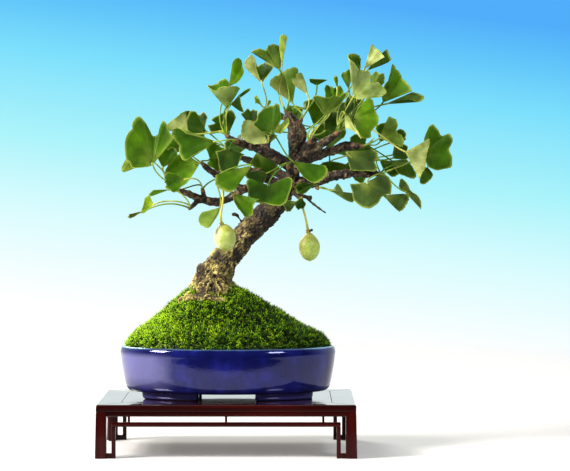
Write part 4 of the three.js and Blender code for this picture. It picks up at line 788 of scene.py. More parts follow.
# The leaves seen best, read off five parts of the photograph, each enlarged twelve times.
# Each has its part, the pixel of its blade's foot there, and its rim from one edge to the other,
# counter-clockwise from the front: across, down, and the millimetres nearer than the foot.
enlarged = 12
part_corners = {1: (115, 105), 2: (200, 25), 3: (300, 35), 4: (205, 130), 5: (330, 105)}
readings = {
    ("left_end", 0): (1, (449, 718), [(715, 400, 3), (655, 320, 1), (625, 250, 0), (580, 182, 1),
        (525, 275, -1), (500, 345, -2), (465, 368, -2), (420, 310, -1), (350, 195, 0), (288, 135, 1),
        (205, 205, 2), (213, 275, 1), (150, 335, 2), (122, 480, 3), (135, 630, 4), (180, 668, 4),
        (200, 738, 5), (280, 765, 6), (380, 755, 6)]),
    ("left_end", 1): (1, (215, 640), [(130, 645, 0), (75, 775, 1), (105, 802, 1), (235, 765, 0)]),
    ("left_upper_bud", 0): (1, (1215, 440), [(870, 345, 4), (745, 265, 4), (690, 290, 3), (685, 360, 1),
        (715, 430, 0), (770, 490, 0), (765, 540, 1), (785, 620, 4), (850, 670, 6), (925, 618, 5)]),
    ("left_middle", 0): (1, (1018, 703), [(905, 640, 0), (840, 590, -1), (740, 600, -2), (665, 690, -1),
        (612, 770, 0), (608, 870, 1), (635, 940, 4), (660, 998, 6), (780, 1005, 6), (870, 945, 5)]),
    ("left_upper_end", 0): (1, (1100, 325), [(965, 75, 1), (905, 68, 2), (865, 130, 1), (840, 200, 2),
        (870, 290, 4), (920, 350, 5)]),
    ("left_upper_end", 1): (1, (880, 325), [(855, 100, -1), (820, 85, 1), (740, 140, 3), (690, 175, 1),
        (625, 240, 3), (640, 290, 5), (665, 310, 5)]),
    ("left_low", 0): (1, (465, 1190), [(410, 1078, 0), (365, 1110, 1), (342, 1190, 2), (318, 1295, 3),
        (352, 1290, 4)]),
    ("left_low", 1): (1, (665, 1008), [(455, 1017, 0), (410, 1075, 2), (435, 1096, 3)]),
    ("left_upper_end", 6): (2, (345, 742), [(430, 695, 1), (490, 640, 0), (525, 560, -1),
        (508, 500, -1), (500, 430, 0), (455, 397, 1), (405, 420, 1), (383, 500, 1)]),
    ("left_upper_end", 3): (2, (325, 1005), [(490, 765, 1), (420, 735, 7), (340, 740, 9), (260, 747, 8),
        (185, 800, 4), (72, 740, -1), (130, 718, -6), (190, 690, -9), (250, 648, -10), (305, 655, -10),
        (342, 690, -8)]),
    ("left_upper_end", 4): (2, (375, 945), [(500, 862, -2), (592, 790, -2), (602, 765, 0),
        (565, 770, 2), (470, 838, 3)]),
    ("left_upper_end", 5): (2, (370, 950), [(450, 1012, 0), (522, 1045, 0), (500, 960, 1),
        (490, 900, 1), (480, 850, 0)]),
    ("middle_twig", 0): (2, (737, 694), [(815, 610, 2), (884, 500, 0), (835, 468, -2), (800, 455, -4),
        (770, 438, -6), (735, 450, -7), (690, 488, -6), (620, 520, -4), (550, 530, -1), (521, 492, 3),
        (548, 425, 6), (608, 358, 7), (650, 385, 7), (664, 440, 6), (669, 530, 5)]),
    ("top", 0): (2, (960, 540), [(990, 440, -2), (950, 300, -3), (942, 238, -3), (890, 226, -1),
        (830, 236, 1), (805, 270, 2), (800, 335, 0), (765, 300, 3), (715, 284, 5), (660, 305, 5),
        (617, 328, 3), (690, 355, 3), (790, 425, 2)]),
    ("top", 1): (2, (985, 482), [(1030, 215, -1), (1042, 135, 0), (1005, 112, 1), (965, 128, 1),
        (955, 190, 0), (950, 280, 0)]),
    ("top_right", 0): (2, (1110, 928), [(1150, 650, -1), (1163, 560, -2), (1160, 494, -2),
        (1085, 494, -2), (1035, 510, -3), (975, 548, -4), (900, 610, -3), (840, 680, 0), (822, 716, 3),
        (845, 648, 6), (875, 612, 7), (935, 588, 8), (985, 605, 8), (1015, 720, 6)]),
    ("top_right", 1): (2, (1290, 838), [(1262, 680, -2), (1240, 610, -1), (1200, 572, 1),
        (1155, 600, 2), (1150, 635, 2), (1103, 642, 4), (1112, 690, 4), (1170, 755, 3)]),
    ("middle_spur", 1): (2, (868, 1288), [(965, 1160, 0), (966, 1040, 1), (950, 960, 1), (915, 943, 1),
        (870, 965, -1), (800, 985, 0), (730, 1030, 1), (682, 1085, 3), (682, 1130, 2), (643, 1185, 4),
        (690, 1235, 5), (740, 1290, 5), (800, 1297, 4)]),
    ("middle_spur", 0): (2, (804, 1416), [(750, 1260, -1), (690, 1180, -1), (600, 1138, 1),
        (520, 1155, 3), (488, 1240, 4), (500, 1330, 4), (560, 1400, 3), (640, 1432, 2)]),
    ("middle_spur", 2): (2, (868, 1290), [(960, 1305, 3), (1035, 1250, 4), (1066, 1170, 3),
        (1062, 1118, 1), (1010, 1185, -1)]),
    ("left_upper_end", 2): (2, (348, 1284), [(430, 1100, -1), (385, 1012, -1), (300, 1030, 0),
        (240, 1055, 0), (135, 1125, 1), (178, 1150, 0), (160, 1182, 1), (92, 1202, 3), (130, 1290, 3)]),
    ("right_knob", 0): (3, (635, 750), [(700, 768, 3), (830, 742, 5), (960, 735, 6), (1034, 700, 6),
        (1012, 640, 4), (950, 575, 3), (880, 590, 1), (835, 560, -1), (848, 480, -2), (830, 432, -3),
        (750, 420, -3), (705, 400, 0), (650, 345, 3), (596, 285, 5), (599, 236, 3), (640, 223, 1),
        (716, 270, -2), (714, 390, -3)]),
    ("right_high", 0): (3, (765, 415), [(1005, 265, 4), (975, 225, 3), (940, 180, 3), (900, 165, 2),
        (858, 108, 2), (835, 180, 1)]),
    ("right_high", 1): (3, (800, 425), [(960, 362, -1), (1095, 298, -1), (1078, 245, -2),
        (1062, 190, -3), (1038, 163, -3), (1000, 200, -3), (980, 235, -3)]),
    ("right_high", 2): (3, (990, 818), [(1345, 678, 4), (1290, 590, 3), (1225, 520, 1), (1200, 465, 1),
        (1150, 405, 0), (1110, 352, 0), (1080, 450, 0), (1065, 530, 0), (1000, 600, 2), (975, 700, 3)]),
    ("right_high", 3): (3, (1022, 826), [(1250, 762, 2), (1345, 768, 3), (1440, 796, 3), (1486, 740, 1),
        (1440, 703, -1), (1350, 682, -2)]),
    ("front_bud", 0): (3, (290, 972), [(430, 915, 2), (520, 800, 2), (604, 700, -1), (560, 690, -2),
        (500, 738, 1), (440, 735, 2), (390, 722, 3), (335, 758, 6), (250, 750, 8), (163, 745, 7),
        (195, 820, 5), (240, 900, 3)]),
    ("top_right", 2): (3, (200, 612), [(330, 540, -1), (260, 537, 1), (180, 532, 2), (106, 536, 3),
        (125, 578, 2)]),
    ("right_knob", 1): (3, (635, 1010), [(700, 1190, 4), (770, 1236, 5), (845, 1226, 4), (850, 1160, 2),
        (905, 1110, 1), (942, 1060, 1), (930, 960, 0), (905, 910, -1), (886, 860, 0), (880, 800, -1),
        (830, 760, -2), (770, 800, -1), (700, 900, 1)]),
    ("right_knob", 2): (3, (532, 925), [(540, 1108, 0), (610, 1132, 2), (670, 1175, 3), (736, 1247, 5),
        (705, 1170, 5), (640, 1080, 4), (600, 1010, 4)]),
    ("right_upper", 0): (5, (595, 400), [(870, 512, 3), (888, 420, 2), (855, 355, 1), (805, 322, -1),
        (814, 240, 1), (790, 180, 2), (745, 150, 1), (703, 132, 0), (680, 190, -1), (660, 290, -1),
        (625, 350, 0)]),
    ("right_knob", 3): (5, (905, 565), [(1076, 896, 5), (1105, 825, 3), (1145, 765, 1), (1160, 670, 0),
        (1178, 560, 0), (1197, 470, 2), (1188, 404, 3)]),
    ("right_low", 3): (5, (1130, 600), [(1175, 745, 1), (1270, 782, 3), (1345, 772, 3), (1456, 738, 4),
        (1466, 640, 2), (1437, 530, 0), (1479, 410, 2), (1430, 350, 1), (1385, 350, -1),
        (1345, 368, -2), (1300, 305, 0), (1240, 238, 2), (1213, 235, 2), (1165, 330, 0),
        (1130, 400, -1)]),
    ("right_low", 4): (5, (1120, 760), [(1073, 900, -1), (1085, 942, 0), (1130, 954, 1), (1170, 925, 1),
        (1230, 850, 1), (1210, 790, 0), (1165, 745, 0)]),
    ("right_upper", 1): (5, (735, 665), [(780, 745, 1), (832, 820, 2), (900, 850, 2), (960, 882, 2),
        (1012, 880, 2), (1036, 840, 1), (1000, 770, 0), (960, 700, -1), (920, 645, -2)]),
    ("right_low", 5): (5, (585, 650), [(640, 780, 1), (700, 830, 1), (745, 867, 1), (826, 820, 0),
        (780, 750, -1), (740, 680, -2)]),
    ("right_middle", 0): (5, (187, 560), [(245, 775, 3), (330, 792, 3), (450, 797, 1), (562, 786, 0),
        (561, 720, 0), (542, 680, -1), (577, 615, 0), (548, 552, 0), (490, 540, 0), (400, 545, -1),
        (320, 560, -1)]),
    ("right_low", 0): (5, (440, 925), [(243, 953, 0), (262, 1040, 2), (290, 1142, 4), (400, 1224, 5),
        (470, 1238, 5), (565, 1196, 3), (620, 1110, 1), (690, 1075, 0), (737, 1062, -1), (741, 960, -2),
        (722, 870, -3), (640, 835, -3), (560, 870, -2)]),
    ("right_low", 1): (5, (640, 1085), [(780, 1212, 2), (832, 1278, 3), (882, 1245, 2), (920, 1200, 1),
        (950, 1130, 0), (940, 1080, 0), (890, 1055, 0), (760, 1072, -1)]),
    ("right_low", 2): (5, (895, 1040), [(1100, 1252, 0), (1097, 1170, 2), (1050, 1080, 3),
        (970, 1020, 3), (920, 940, 1), (864, 886, 0), (836, 987, -1)]),
    ("right_under", 0): (5, (10, 1025), [(170, 1127, 1), (272, 1164, 2), (292, 1100, 0),
        (262, 1048, -1), (190, 1082, -1)]),
    ("right_under", 1): (5, (45, 1025), [(172, 1086, 0), (140, 1010, 1), (90, 948, 1), (58, 1000, 0)]),
    ("middle_spur", 4): (4, (1040, 370), [(1180, 560, 4), (1245, 610, 5), (1320, 627, 5),
        (1400, 592, 3), (1462, 530, 1), (1466, 460, -1), (1440, 423, -2)]),
    ("left_upper_bud", 1): (4, (290, 215), [(125, 262, 1), (150, 340, 3), (172, 430, 4), (195, 502, 5),
        (255, 517, 5), (325, 510, 4), (375, 455, 3), (402, 400, 1), (440, 310, 0), (470, 290, -1)]),
    ("front_low", 1): (4, (560, 428), [(200, 520, 0), (135, 543, 2), (120, 600, 4), (133, 660, 5),
        (200, 714, 6), (290, 744, 6), (347, 725, 5), (377, 670, 3), (430, 600, 1), (490, 540, 0)]),
    ("front_low", 0): (4, (185, 925), [(-30, 985, 0), (-73, 1040, 2), (-70, 1100, 3), (-10, 1166, 4),
        (40, 1172, 4), (92, 1130, 2), (130, 1060, 1), (165, 1000, 1)]),
    ("front_low", 2): (4, (335, 760), [(352, 860, 3), (385, 937, 5), (440, 988, 6), (500, 1040, 4),
        (570, 1014, 3), (582, 960, 3), (602, 880, 5), (654, 830, 6), (570, 868, 0), (480, 815, -2),
        (400, 800, -2)]),
    ("front_trunk", 1): (4, (756, 516), [(600, 488, -2), (500, 520, 0), (478, 560, 1), (540, 605, 2),
        (620, 652, 3), (705, 640, 2)]),
    ("back_left_middle", 0): (4, (624, 264), [(545, 385, 0), (600, 452, 1), (680, 472, 0),
        (720, 540, 1), (775, 584, 2), (830, 520, 1), (872, 440, 0), (880, 350, -1)]),
    ("front_trunk", 0): (4, (762, 665), [(590, 613, -2), (520, 595, 0), (490, 640, 1), (514, 710, 3),
        (520, 790, 4), (560, 862, 5), (650, 874, 4), (750, 895, 5), (820, 914, 6), (900, 907, 6),
        (957, 880, 5), (1002, 800, 3), (1037, 690, 1), (1047, 610, 0), (1015, 576, -1),
        (930, 608, -3)]),
}
# Three of them were then moved back, and one of these down, so that the sky shows past them. One
# midrib leaves its foot another way than towards the middle of its rim.
moved = {("left_upper_end", 0): (12, 0), ("left_upper_end", 2): (12, 0), ("top_right", 0): (18, -0.5)}
midrib_heading = {("left_low", 0): 216}
pixel_size, picture_middle = 0.696, (285, 235.5)


def read_off(part, foot, rim, depth):
    """A reading in millimetres at its leaf's depth. A pixel grows with the distance from the
    camera, and the line of sight falls by its tilt on the way. The foot, the rim's points from
    it and the leaf's reach, its farthest point, are taken to half a millimetre, and the heading
    is towards the mean of the rim."""
    away = camera_away + depth
    pixel = pixel_size * away / camera_away
    read = np.array([foot] + [point[:2] for point in rim]) / enlarged + part_corners[part]
    across = camera_right + (read[:, 0] - picture_middle[0]) * pixel
    up = camera_up - away * math.tan(camera_tilt) - (read[:, 1] - picture_middle[1]) * pixel
    right, above = across[1:] - across[0], up[1:] - up[0]
    heading = round(math.degrees(math.atan2(above.mean(), right.mean())) % 360)
    points = np.column_stack([np.round(right * 2) / 2, [point[2] for point in rim],
                              np.round(above * 2) / 2])
    reach = round(np.hypot(right, above).max() * 2) / 2
    return round(across[0] * 2) / 2, round(up[0] * 2) / 2, heading, reach, points


rims = {}
for (name, i), (part, foot, rim) in readings.items():
    depth, lean, roll, spread, wrap, notch = sprays[name][3][i]
    x, z, heading, reach, rims[name, i] = read_off(part, foot, rim, depth)
    back, rise = moved.get((name, i), (0, 0))
    heading = midrib_heading.get((name, i), heading)
    sprays[name][3][i] = (x, depth + back, z + rise, heading, lean, roll, reach, spread, wrap, notch)


def chance(i, k):
    """Even random number from 0 to 1 for a pair of numbers: what is left of a large sine."""
    return np.modf(np.sin(i * 12.9898 + k * 78.233) * 43758.5453)[0] % 1


def behind_spray(start, tip, size, seed):
    """Leaves of a spray far behind the tree: spread round its spur away from the tree's middle,
    each a random reach out and climb, facing up."""
    # The far leaves take the dark tones as painted shade, for the shade of the crown in front of them.
    tones, crown_middle = "dddmd", (47, 0, 205)
    away = np.array(tip) - crown_middle
    away = away * (1, 1, 0) / np.hypot(*away[:2])
    i = np.arange(len(tones))
    turn = ((i + 0.5) / len(tones) - 0.5) * 3.4 + 0.5 * (chance(seed, i) - 0.5)
    out = np.stack([away[0] * np.cos(turn) - away[1] * np.sin(turn),
                    away[0] * np.sin(turn) + away[1] * np.cos(turn), 0 * turn], -1)
    foot = np.array(tip) + out * (16 + 14 * chance(seed, i + 10))[:, None]
    foot[:, 2] += 4 + 16 * chance(seed, i + 20)
    rise = np.radians(12 + 30 * chance(seed, i + 30))
    heading = np.degrees(np.arctan2(np.sin(rise), out[:, 0] * np.cos(rise)))
    lean = np.degrees(np.arcsin(-out[:, 1] * np.cos(rise)))
    roll, half_spread, wrap = np.where(out[:, 0] > 0, -35, 35), 0 * i + 54, 0 * i + 10
    sizes, notches = size + 7 * chance(seed, i + 40), 0.1 + 0.25 * chance(seed, i + 50)
    rows = np.column_stack([foot, heading, lean, roll, sizes, half_spread, wrap, notches])
    return start, tip, tones, [tuple(row) for row in rows]


for name, start, tip, size in (("back_top", (60, 29, 216), (64.4, 40.6, 221.4), 17),
                               ("back_left", (17, 33, 200), (3.6, 44.4, 205.2), 17),
                               ("back_right", (80, 30, 193), (92.4, 40.4, 197.2), 12)):
    sprays[name] = behind_spray(start, tip, size, 1 + sum(len(spray[3]) for spray in sprays.values()))


def limb_frames(line, steps):
    """A limb's smooth middle line with its radius, the two directions across it and the one along
    it, and its length so far. The directions across come from the axis it runs along least."""
    at = through(line, steps)
    along = np.gradient(at[:, :3], axis=0)
    along /= np.linalg.norm(along, axis=1, keepdims=True)
    least = np.eye(3)[np.argmin(np.abs(along.mean(0)))]
    across = np.cross(least, along)
    across /= np.linalg.norm(across, axis=1, keepdims=True)
    run = np.concatenate([[0], np.cumsum(np.linalg.norm(np.diff(at[:, :3], axis=0), axis=1))])
    return at[:, :3], at[:, 3], across, np.cross(along, across), along, run


def tube(frames, around):
    """Rings of a limb: its radius carried round its middle line."""
    middle, radius, across, other = frames[:4]
    turns = np.linspace(0, 2 * math.pi, around, endpoint=False)
    return (middle[:, None] + radius[:, None, None] * (across[:, None] * np.cos(turns)[:, None]
                                                      + other[:, None] * np.sin(turns)[:, None]))


def plates(points, seed):
    """Bark plates, one unit apart: for the nearest of one random point in each cell, its own random
    number, and the way along from it."""
    cell = np.floor(points).astype(np.int64)
    first = np.full(len(points), 9.0)
    own, past = np.zeros(len(points)), np.zeros(len(points))
    for step in np.ndindex(3, 3, 3):
        near = cell + np.array(step) - 1
        middle = near + np.column_stack([scatter(near, seed + k) for k in range(3)])
        far = np.linalg.norm(points - middle, axis=1)
        closer = far < first
        own = np.where(closer, scatter(near, seed + 3), own)
        past = np.where(closer, (points - middle)[:, 2], past)
        first = np.where(closer, far, first)
    return own, past


def smoothly(value, low, high):
    """0 below low, 1 above high, and 3t² - 2t³ between them."""
    t = np.clip((value - low) / (high - low), 0, 1)
    return t * t * (3 - 2 * t)


def grown_wood():
    """The limbs as closed tubes, run together by a fine voxel remesh and smoothed. The bark is
    then raised along the normals: plates laid like shingles, with random lumps, worked out in
    each limb's own directions so that it runs along the limb."""
    limbs = [limb_frames(line, 6) for line in [trunk_line] + root_lines + branch_lines + twig_lines]
    limbs += [limb_frames([(*start, 1.9), (*tip, 1.55)], 6) for start, tip, _, _ in sprays.values()]
    rough = new_mesh("tree_wood_barked", *together([skinned(tube(limb, 18)) for limb in limbs]))
    remesh = rough.modifiers.new("grown_together", "REMESH")
    remesh.mode, remesh.voxel_size = "VOXEL", 0.00062
    smooth = rough.modifiers.new("smoothed", "SMOOTH")
    smooth.factor, smooth.iterations = 0.5, 4
    mesh = bpy.data.meshes.new_from_object(rough.evaluated_get(bpy.context.evaluated_depsgraph_get()))
    rough.modifiers.clear()
    rough.data = mesh
    points, normals = (np.empty(len(mesh.vertices) * 3, np.float32) for _ in range(2))
    mesh.vertices.foreach_get("co", points)
    mesh.vertex_normals.foreach_get("vector", normals)
    points = (points.reshape(-1, 3) - centre) * 1000
    normals = normals.reshape(-1, 3)
    middle, radius, across, other, along = (np.concatenate([limb[k] for limb in limbs]) for k in range(5))
    run = np.concatenate([limb[5] + 37.0 * number for number, limb in enumerate(limbs)])
    spur = np.concatenate([np.full(len(limb[5]), number >= len(limbs) - len(sprays))
                           for number, limb in enumerate(limbs)])
    nearest = np.concatenate([
        np.argmin(np.linalg.norm(part[:, None] - middle[None], axis=2) - radius[None], axis=1)
        for part in np.array_split(points.astype(np.float32), 40)])
    away = points - middle[nearest]
    own = np.stack([(away * across[nearest]).sum(1), (away * other[nearest]).sum(1),
                    run[nearest] + (away * along[nearest]).sum(1)], -1)
    thick, on_spur = radius[nearest], spur[nearest]
    old = smoothly(thick, 3.0, 11.0)
    warp = np.column_stack([lumps(own / 2.4, 70 + k) for k in range(3)])
    drawn = own * (1, 1, 0.5) + 1.3 * warp
    tone, past = plates(drawn / 2.6, 40)
    small_tone, small_past = plates(drawn / 1.25, 60)
    broken = smoothly(lumps(own / 3.5, 31), -0.5, 0.4)
    crack = (1 - smoothly(np.abs(lumps(drawn / 1.9, 21)), 0.0, 0.2)) * broken
    small_crack = 1 - smoothly(np.abs(lumps(drawn / 1.0, 22)), 0.0, 0.24)
    size = 0.3 + 0.55 * old * (0.6 + 0.4 * smoothly(points[:, 2], 150, 125))
    rise = size * (0.7 * (tone - 0.5) + 0.6 * past - 1.5 * crack + 0.4 * small_past - 0.75 * small_crack)
    rise += size * (0.8 * lumps(drawn / 1.3, 7) + 0.5 * lumps(own / 0.8, 8))
    knobs = 1.3 * (1 - old) * np.maximum(0, lumps(own / 2.3, 12) - 0.1)
    rise += (0.3 + 0.6 * old) * lumps(own / 7, 9) + knobs
    rise *= np.clip(thick / 2.4, 0.3, 1)
    rings = 0.22 * np.sin(own[:, 2] * 4.2)
    rise = np.where(on_spur, 0.25 * rise + rings, rise)
    points += normals * rise[:, None]
    mesh.vertices.foreach_set("co", (points / 1000 + centre).astype(np.float32).ravel())
    mesh.shade_smooth()
    mesh.update()
    # Painted shade: the side turned away from the lamp, the cracks and the sunken places are darkened in
    # the colour.
    away_from_lamp = smoothly(normals @ (0.72, 0.0, -0.69), 0.1, 0.95)
    sunken = smoothly(-rise / size, 0.6, 1.8)
    hollow = np.clip(0.45 * away_from_lamp + 0.7 * crack + 0.5 * small_crack + 0.55 * sunken, 0, 1)
    low = smoothly(points[:, 2], 184, 126)
    marked(rough, hollow=hollow, age=low * np.maximum(old, smoothly(points[:, 2], 138, 120)),
           tone=0.55 * tone + 0.45 * small_tone, high=np.clip(0.5 + 0.5 * rise / size, 0, 1))
    return rough


def bark_material():
    """Tan flaky bark on the old foot turning dark brown above, with grey and green bloom in patches,
    and painted shade that darkens the cracks, the sunken places and the side turned from the lamp."""
    made, tree, output = new_material("ginkgo_bark")
    place = add_node(tree, "TexCoord").outputs["Object"]
    hollow, age, tone, high = (add_node(tree, "Attribute", {}, attribute_name=name).outputs["Fac"]
                               for name in ("hollow", "age", "tone", "high"))
    cloud = noise(tree, place, 420, 5, Roughness=0.7)
    grit = noise(tree, place, 1900, 4)
    mix = maths(tree, "MULTIPLY_ADD", tone, 0.35, maths(tree, "MULTIPLY", cloud, 0.65))
    mix = maths(tree, "MULTIPLY_ADD", high, 0.3, maths(tree, "SUBTRACT", mix, 0.32))
    mix = maths(tree, "MULTIPLY_ADD", grit, 0.4, mix)
    old = ramp(tree, mix, (0.24, "0e0803"), (0.82, "e8d484"), (0.44, "3e3018"), (0.62, "86783a"))
    young = ramp(tree, mix, (0.22, "040201"), (0.86, "8c7454"), (0.44, "171008"), (0.64, "483724"))
    wood = blended(tree, age, young, old)
    patch = noise(tree, place, 90, 3)
    bloom = mapped(tree, patch, 0.56, 0.75, 0, 0.35)
    wood = blended(tree, bloom, wood, linear("6a6a30"))
    # The painted shade takes the bark towards near black.
    wood = blended(tree, hollow, wood, linear("140c06"))
    relief = relief_of(tree, grit, 0.9, 0.0004)
    rough = mapped(tree, grit, 0, 1, 0.62, 0.95)
    finish = add_node(tree, "BsdfPrincipled", {"Base Color": wood, "Roughness": rough, "Normal": relief})
    tree.links.new(finish.outputs[0], output.inputs["Surface"])
    return made


wood = grown_wood()
wood.data.materials.append(bark_material())
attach(wood, "root")
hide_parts("tree_wood")


# The leaves are fans of thin leathery blade, notched in the middle, with fine veins forking from
# the stalk. Each spray grows from the scaly bud of one spur on long wiry stalks. Young blades
# are yellow-green, old ones darker, and the underside is paler and duller. The far sprays behind
# the crown get dark tones as painted shade, and the h tone is painted shade above and light below.
# Tones of a leaf: upper face and underside. The h tone's dark upper face is painted shade inside a
# cup, and its nearly white underside painted light.
leaf_tones = {
    "d": ("305402", "6c8c34"), "m": ("4e7e02", "8caa48"), "b": ("6a9c02", "a0bc50"),
    "p": ("629404", "b0cc68"), "y": ("c0dc2c", "f0fc8c"), "g": ("305004", "88a44c"),
    "o": ("3e600c", "5c7440"), "w": ("84701c", "a08c44"), "h": ("2c5000", "fcffc8"),
    "c": ("a0c460", "ecf0a4"), "e": ("5c8038", "a4bc7c"), "k": ("629410", "d0e0a8"),
    "l": ("88bc10", "c0dc70"),
}
leaf_root = 0.06


def leaf_frame(leaf):
    """Directions of a leaf: foot, midrib and across, then the cone that the blade lies on, by half
    the turn that the blade takes round it, its slope, its axis, and its side under the midrib."""
    heading, lean, roll = np.radians(leaf[3:6])
    spread, wrap = leaf[7:9]
    rib = np.array([math.cos(lean) * math.cos(heading), -math.sin(lean),
                    math.cos(lean) * math.sin(heading)])
    up = np.array([0.0, -1.0, 0.0])
    up -= rib * up.dot(rib)
    up /= np.linalg.norm(up)
    up = up * math.cos(roll) + np.cross(rib, up) * math.sin(roll)
    turn, slope = math.radians(spread + wrap), math.asin(spread / (spread + wrap))
    axis = rib * math.cos(slope) + up * math.sin(slope)
    below = rib * math.sin(slope) - up * math.cos(slope)
    return np.array(leaf[:3], float), rib, np.cross(up, rib), turn, slope, axis, below


def fan(leaf, seed, share, side):
    """Middle of a blade bent onto its cone. A point lies out along a ray by the size times the
    margin: 1, less the notch's bell curve and a shoulder squared, with waves and fine nicks. It
    stands off the cone by a wave and a droop that grow outwards. Also gives the way up, and the
    angle round the stalk."""
    foot, _, across, turn, slope, axis, below = leaf_frame(leaf)
    size, notch = leaf[6], leaf[9]
    shoulder = 0.16 + 0.16 * chance(seed, 1)
    lopsided = 0.09 * (chance(seed, 10) - 0.5) * np.sin(2.2 * side)
    uneven = lopsided + 0.02 * np.sin(13 * side + 5 * chance(seed, 11))
    cut = notch * np.exp(-((side - 0.1 * (chance(seed, 12) - 0.5)) / 0.13) ** 2)
    margin = 1 - cut - shoulder * side ** 2 + uneven
    margin += 0.03 * np.cos(9 * side + 6 * chance(seed, 2))
    nicks = 0.012 * np.sin(17 * side + seed) + 0.006 * np.sin(37 * side + 2 * seed)
    nicks = nicks - 0.2 * smoothly(np.abs(side), 0.72, 1.04) ** 2
    length = size * share * (1 + (margin - 1) * smoothly(share, 0.05, 0.3) + nicks * share ** 4)
    droop = 0.16 * (chance(seed, 4) - 0.3) * share ** 2
    lift = 0.07 * share ** 3 * np.sin(6.5 * side + 6.3 * chance(seed, 3)) - droop
    lift += 0.03 * share ** 4 * np.sin(14 * side + seed) + 0.006 * share * np.sin(44 * side)
    curl = np.where(side < 0, 0.3 * chance(seed, 8) - 0.12, 0.3 * chance(seed, 9) - 0.12)
    lift += curl * np.abs(side) ** 1.7 * share ** 1.5
    angle = (side * turn)[..., None]
    outward = below * np.cos(angle) + across * np.sin(angle)
    ray = axis * math.cos(slope) + outward * math.sin(slope)
    normal = axis * math.sin(slope) - outward * math.cos(slope)
    return foot + ray * length[..., None] + normal * (size * lift)[..., None], normal, side * turn


def outlined(leaf, rim, seed, share, side):
    """Middle of a blade whose rim was read: straight rays in the front view from the foot to the
    smooth rim, each bowed towards the front by a power of the share, with waves and fine nicks.
    A narrow blade waves less. The rim runs the other way where the underside is to the front."""
    points = through(rim if abs(leaf[5]) < 90 else rim[::-1], 12)
    at = (side[0] + 1) / 2 * (len(points) - 1)
    curve = np.column_stack([np.interp(at, np.arange(len(points)), points[:, k]) for k in range(3)])
    nicks = 1 + 0.011 * np.sin(31 * side + seed) * share ** 4
    middle = np.stack([leaf[0] + curve[:, 0] * share * nicks,
                       leaf[1] - curve[:, 1] * share ** 1.8 + 0.9 * share,
                       leaf[2] + curve[:, 2] * share * nicks], -1)
    normal = np.cross(np.gradient(middle, axis=0), np.gradient(middle, axis=1))
    normal /= np.linalg.norm(normal, axis=-1, keepdims=True) + 1e-9
    flat = curve[:, [0, 2]] / np.linalg.norm(curve[:, [0, 2]], axis=1, keepdims=True)
    turned = np.cumsum(np.concatenate([[0], np.arccos(np.clip((flat[1:] * flat[:-1]).sum(1), -1, 1))]))
    wave = 0.035 * share ** 3 * np.sin(6.5 * side + 6.3 * chance(seed, 3))
    wave = wave + 0.005 * share * np.sin(44 * side)
    wave = wave * leaf[6] * min(1, turned[-1] / 1.3) ** 2 * min(1, leaf[6] / 20)
    return middle + normal * wave[..., None], normal, np.broadcast_to(turned, side.shape)


def blade(leaf, rim, seed, tone, rings=13, rays=44):
    """Both faces of a blade, each half its thickness off the middle. Columns: place, tint, angle
    round the stalk, share along the ray, and nearness to the rim. The foot is pale, but in a cupped
    blade its upper face is painted dark there as painted shade, most for the g and h tones, and each
    blade is painted a little darker towards one side as painted shade."""
    tones, painted_cup_shade = leaf_tones[tone], 0.5 if tone in "gh" else 0.2 if tone in "dm" else 0
    share, side = np.meshgrid(np.append(np.linspace(leaf_root ** 1.2, 0.972, rings) ** 0.85, 1),
                              np.concatenate([[-1], np.linspace(-0.975, 0.975, rays - 1), [1]]),
                              indexing="ij")
    if rim is None:
        middle, normal, turned = fan(leaf, seed, share, side)
    else:
        middle, normal, turned = outlined(leaf, rim, seed, share, side)
    rim = np.maximum(smoothly(share, 0.96, 0.99),
                     smoothly(np.abs(side), 0.96, 1) * smoothly(share, 0.1, 0.4))
    faces = []
    for way, code in zip((1, -1), tones):
        off = way * (0.22 - 0.08 * share)
        # Painted shade: each blade is darkened a little towards one side, the side picked by chance.
        uneven = 0.1 * side[..., None] * (chance(seed, 7) - 0.5)
        shade = np.array(linear(code)[:3]) * (0.86 + 0.28 * chance(seed, 6) + uneven)
        pale = np.array(linear("e6ee88")[:3])
        foot = smoothly(share, 0.55, 0.1)
        share_pale = ((0.1 if way > 0 and painted_cup_shade else 0.4) * foot + 0.9 * rim)[..., None]
        tint = shade * (1 - share_pale) + pale * share_pale
        # Painted shade: inside a cupped blade the upper face is darkened near the foot.
        tint = tint * (1 - (painted_cup_shade if way > 0 else 0.1 * painted_cup_shade) * foot)[..., None]
        faces.append(np.concatenate([middle + normal * off[..., None], tint, turned[..., None],
                                     share[..., None], rim[..., None]], -1).reshape(-1, 9))
    a = (np.arange(rings)[:, None] * (rays + 1) + np.arange(rays)).ravel()
    b, c, d = a + 1, a + rays + 2, a + rays + 1
    count = (rings + 1) * (rays + 1)
    rows = np.arange(rings + 1) * (rays + 1)
    edge = np.concatenate([np.arange(rays), rows[:-1] + rays, count - 1 - np.arange(rays), rows[:0:-1]])
    ahead = np.roll(edge, -1)
    triangles = [np.column_stack([a, d, c]), np.column_stack([a, c, b]),
                 np.column_stack([a, c, d]) + count, np.column_stack([a, b, c]) + count,
                 np.column_stack([edge, ahead, ahead + count]),
                 np.column_stack([edge, ahead + count, edge + count])]
    return np.vstack(faces), np.vstack(triangles)


def coloured(surface, code, kind):
    """A plain surface with a blade's further columns: one tint, and its kind where the rim would
    be."""
    points, triangles = surface
    more = np.tile([*linear(code)[:3], 0, 0, kind], (len(points), 1))
    return np.hstack([points, more]), triangles


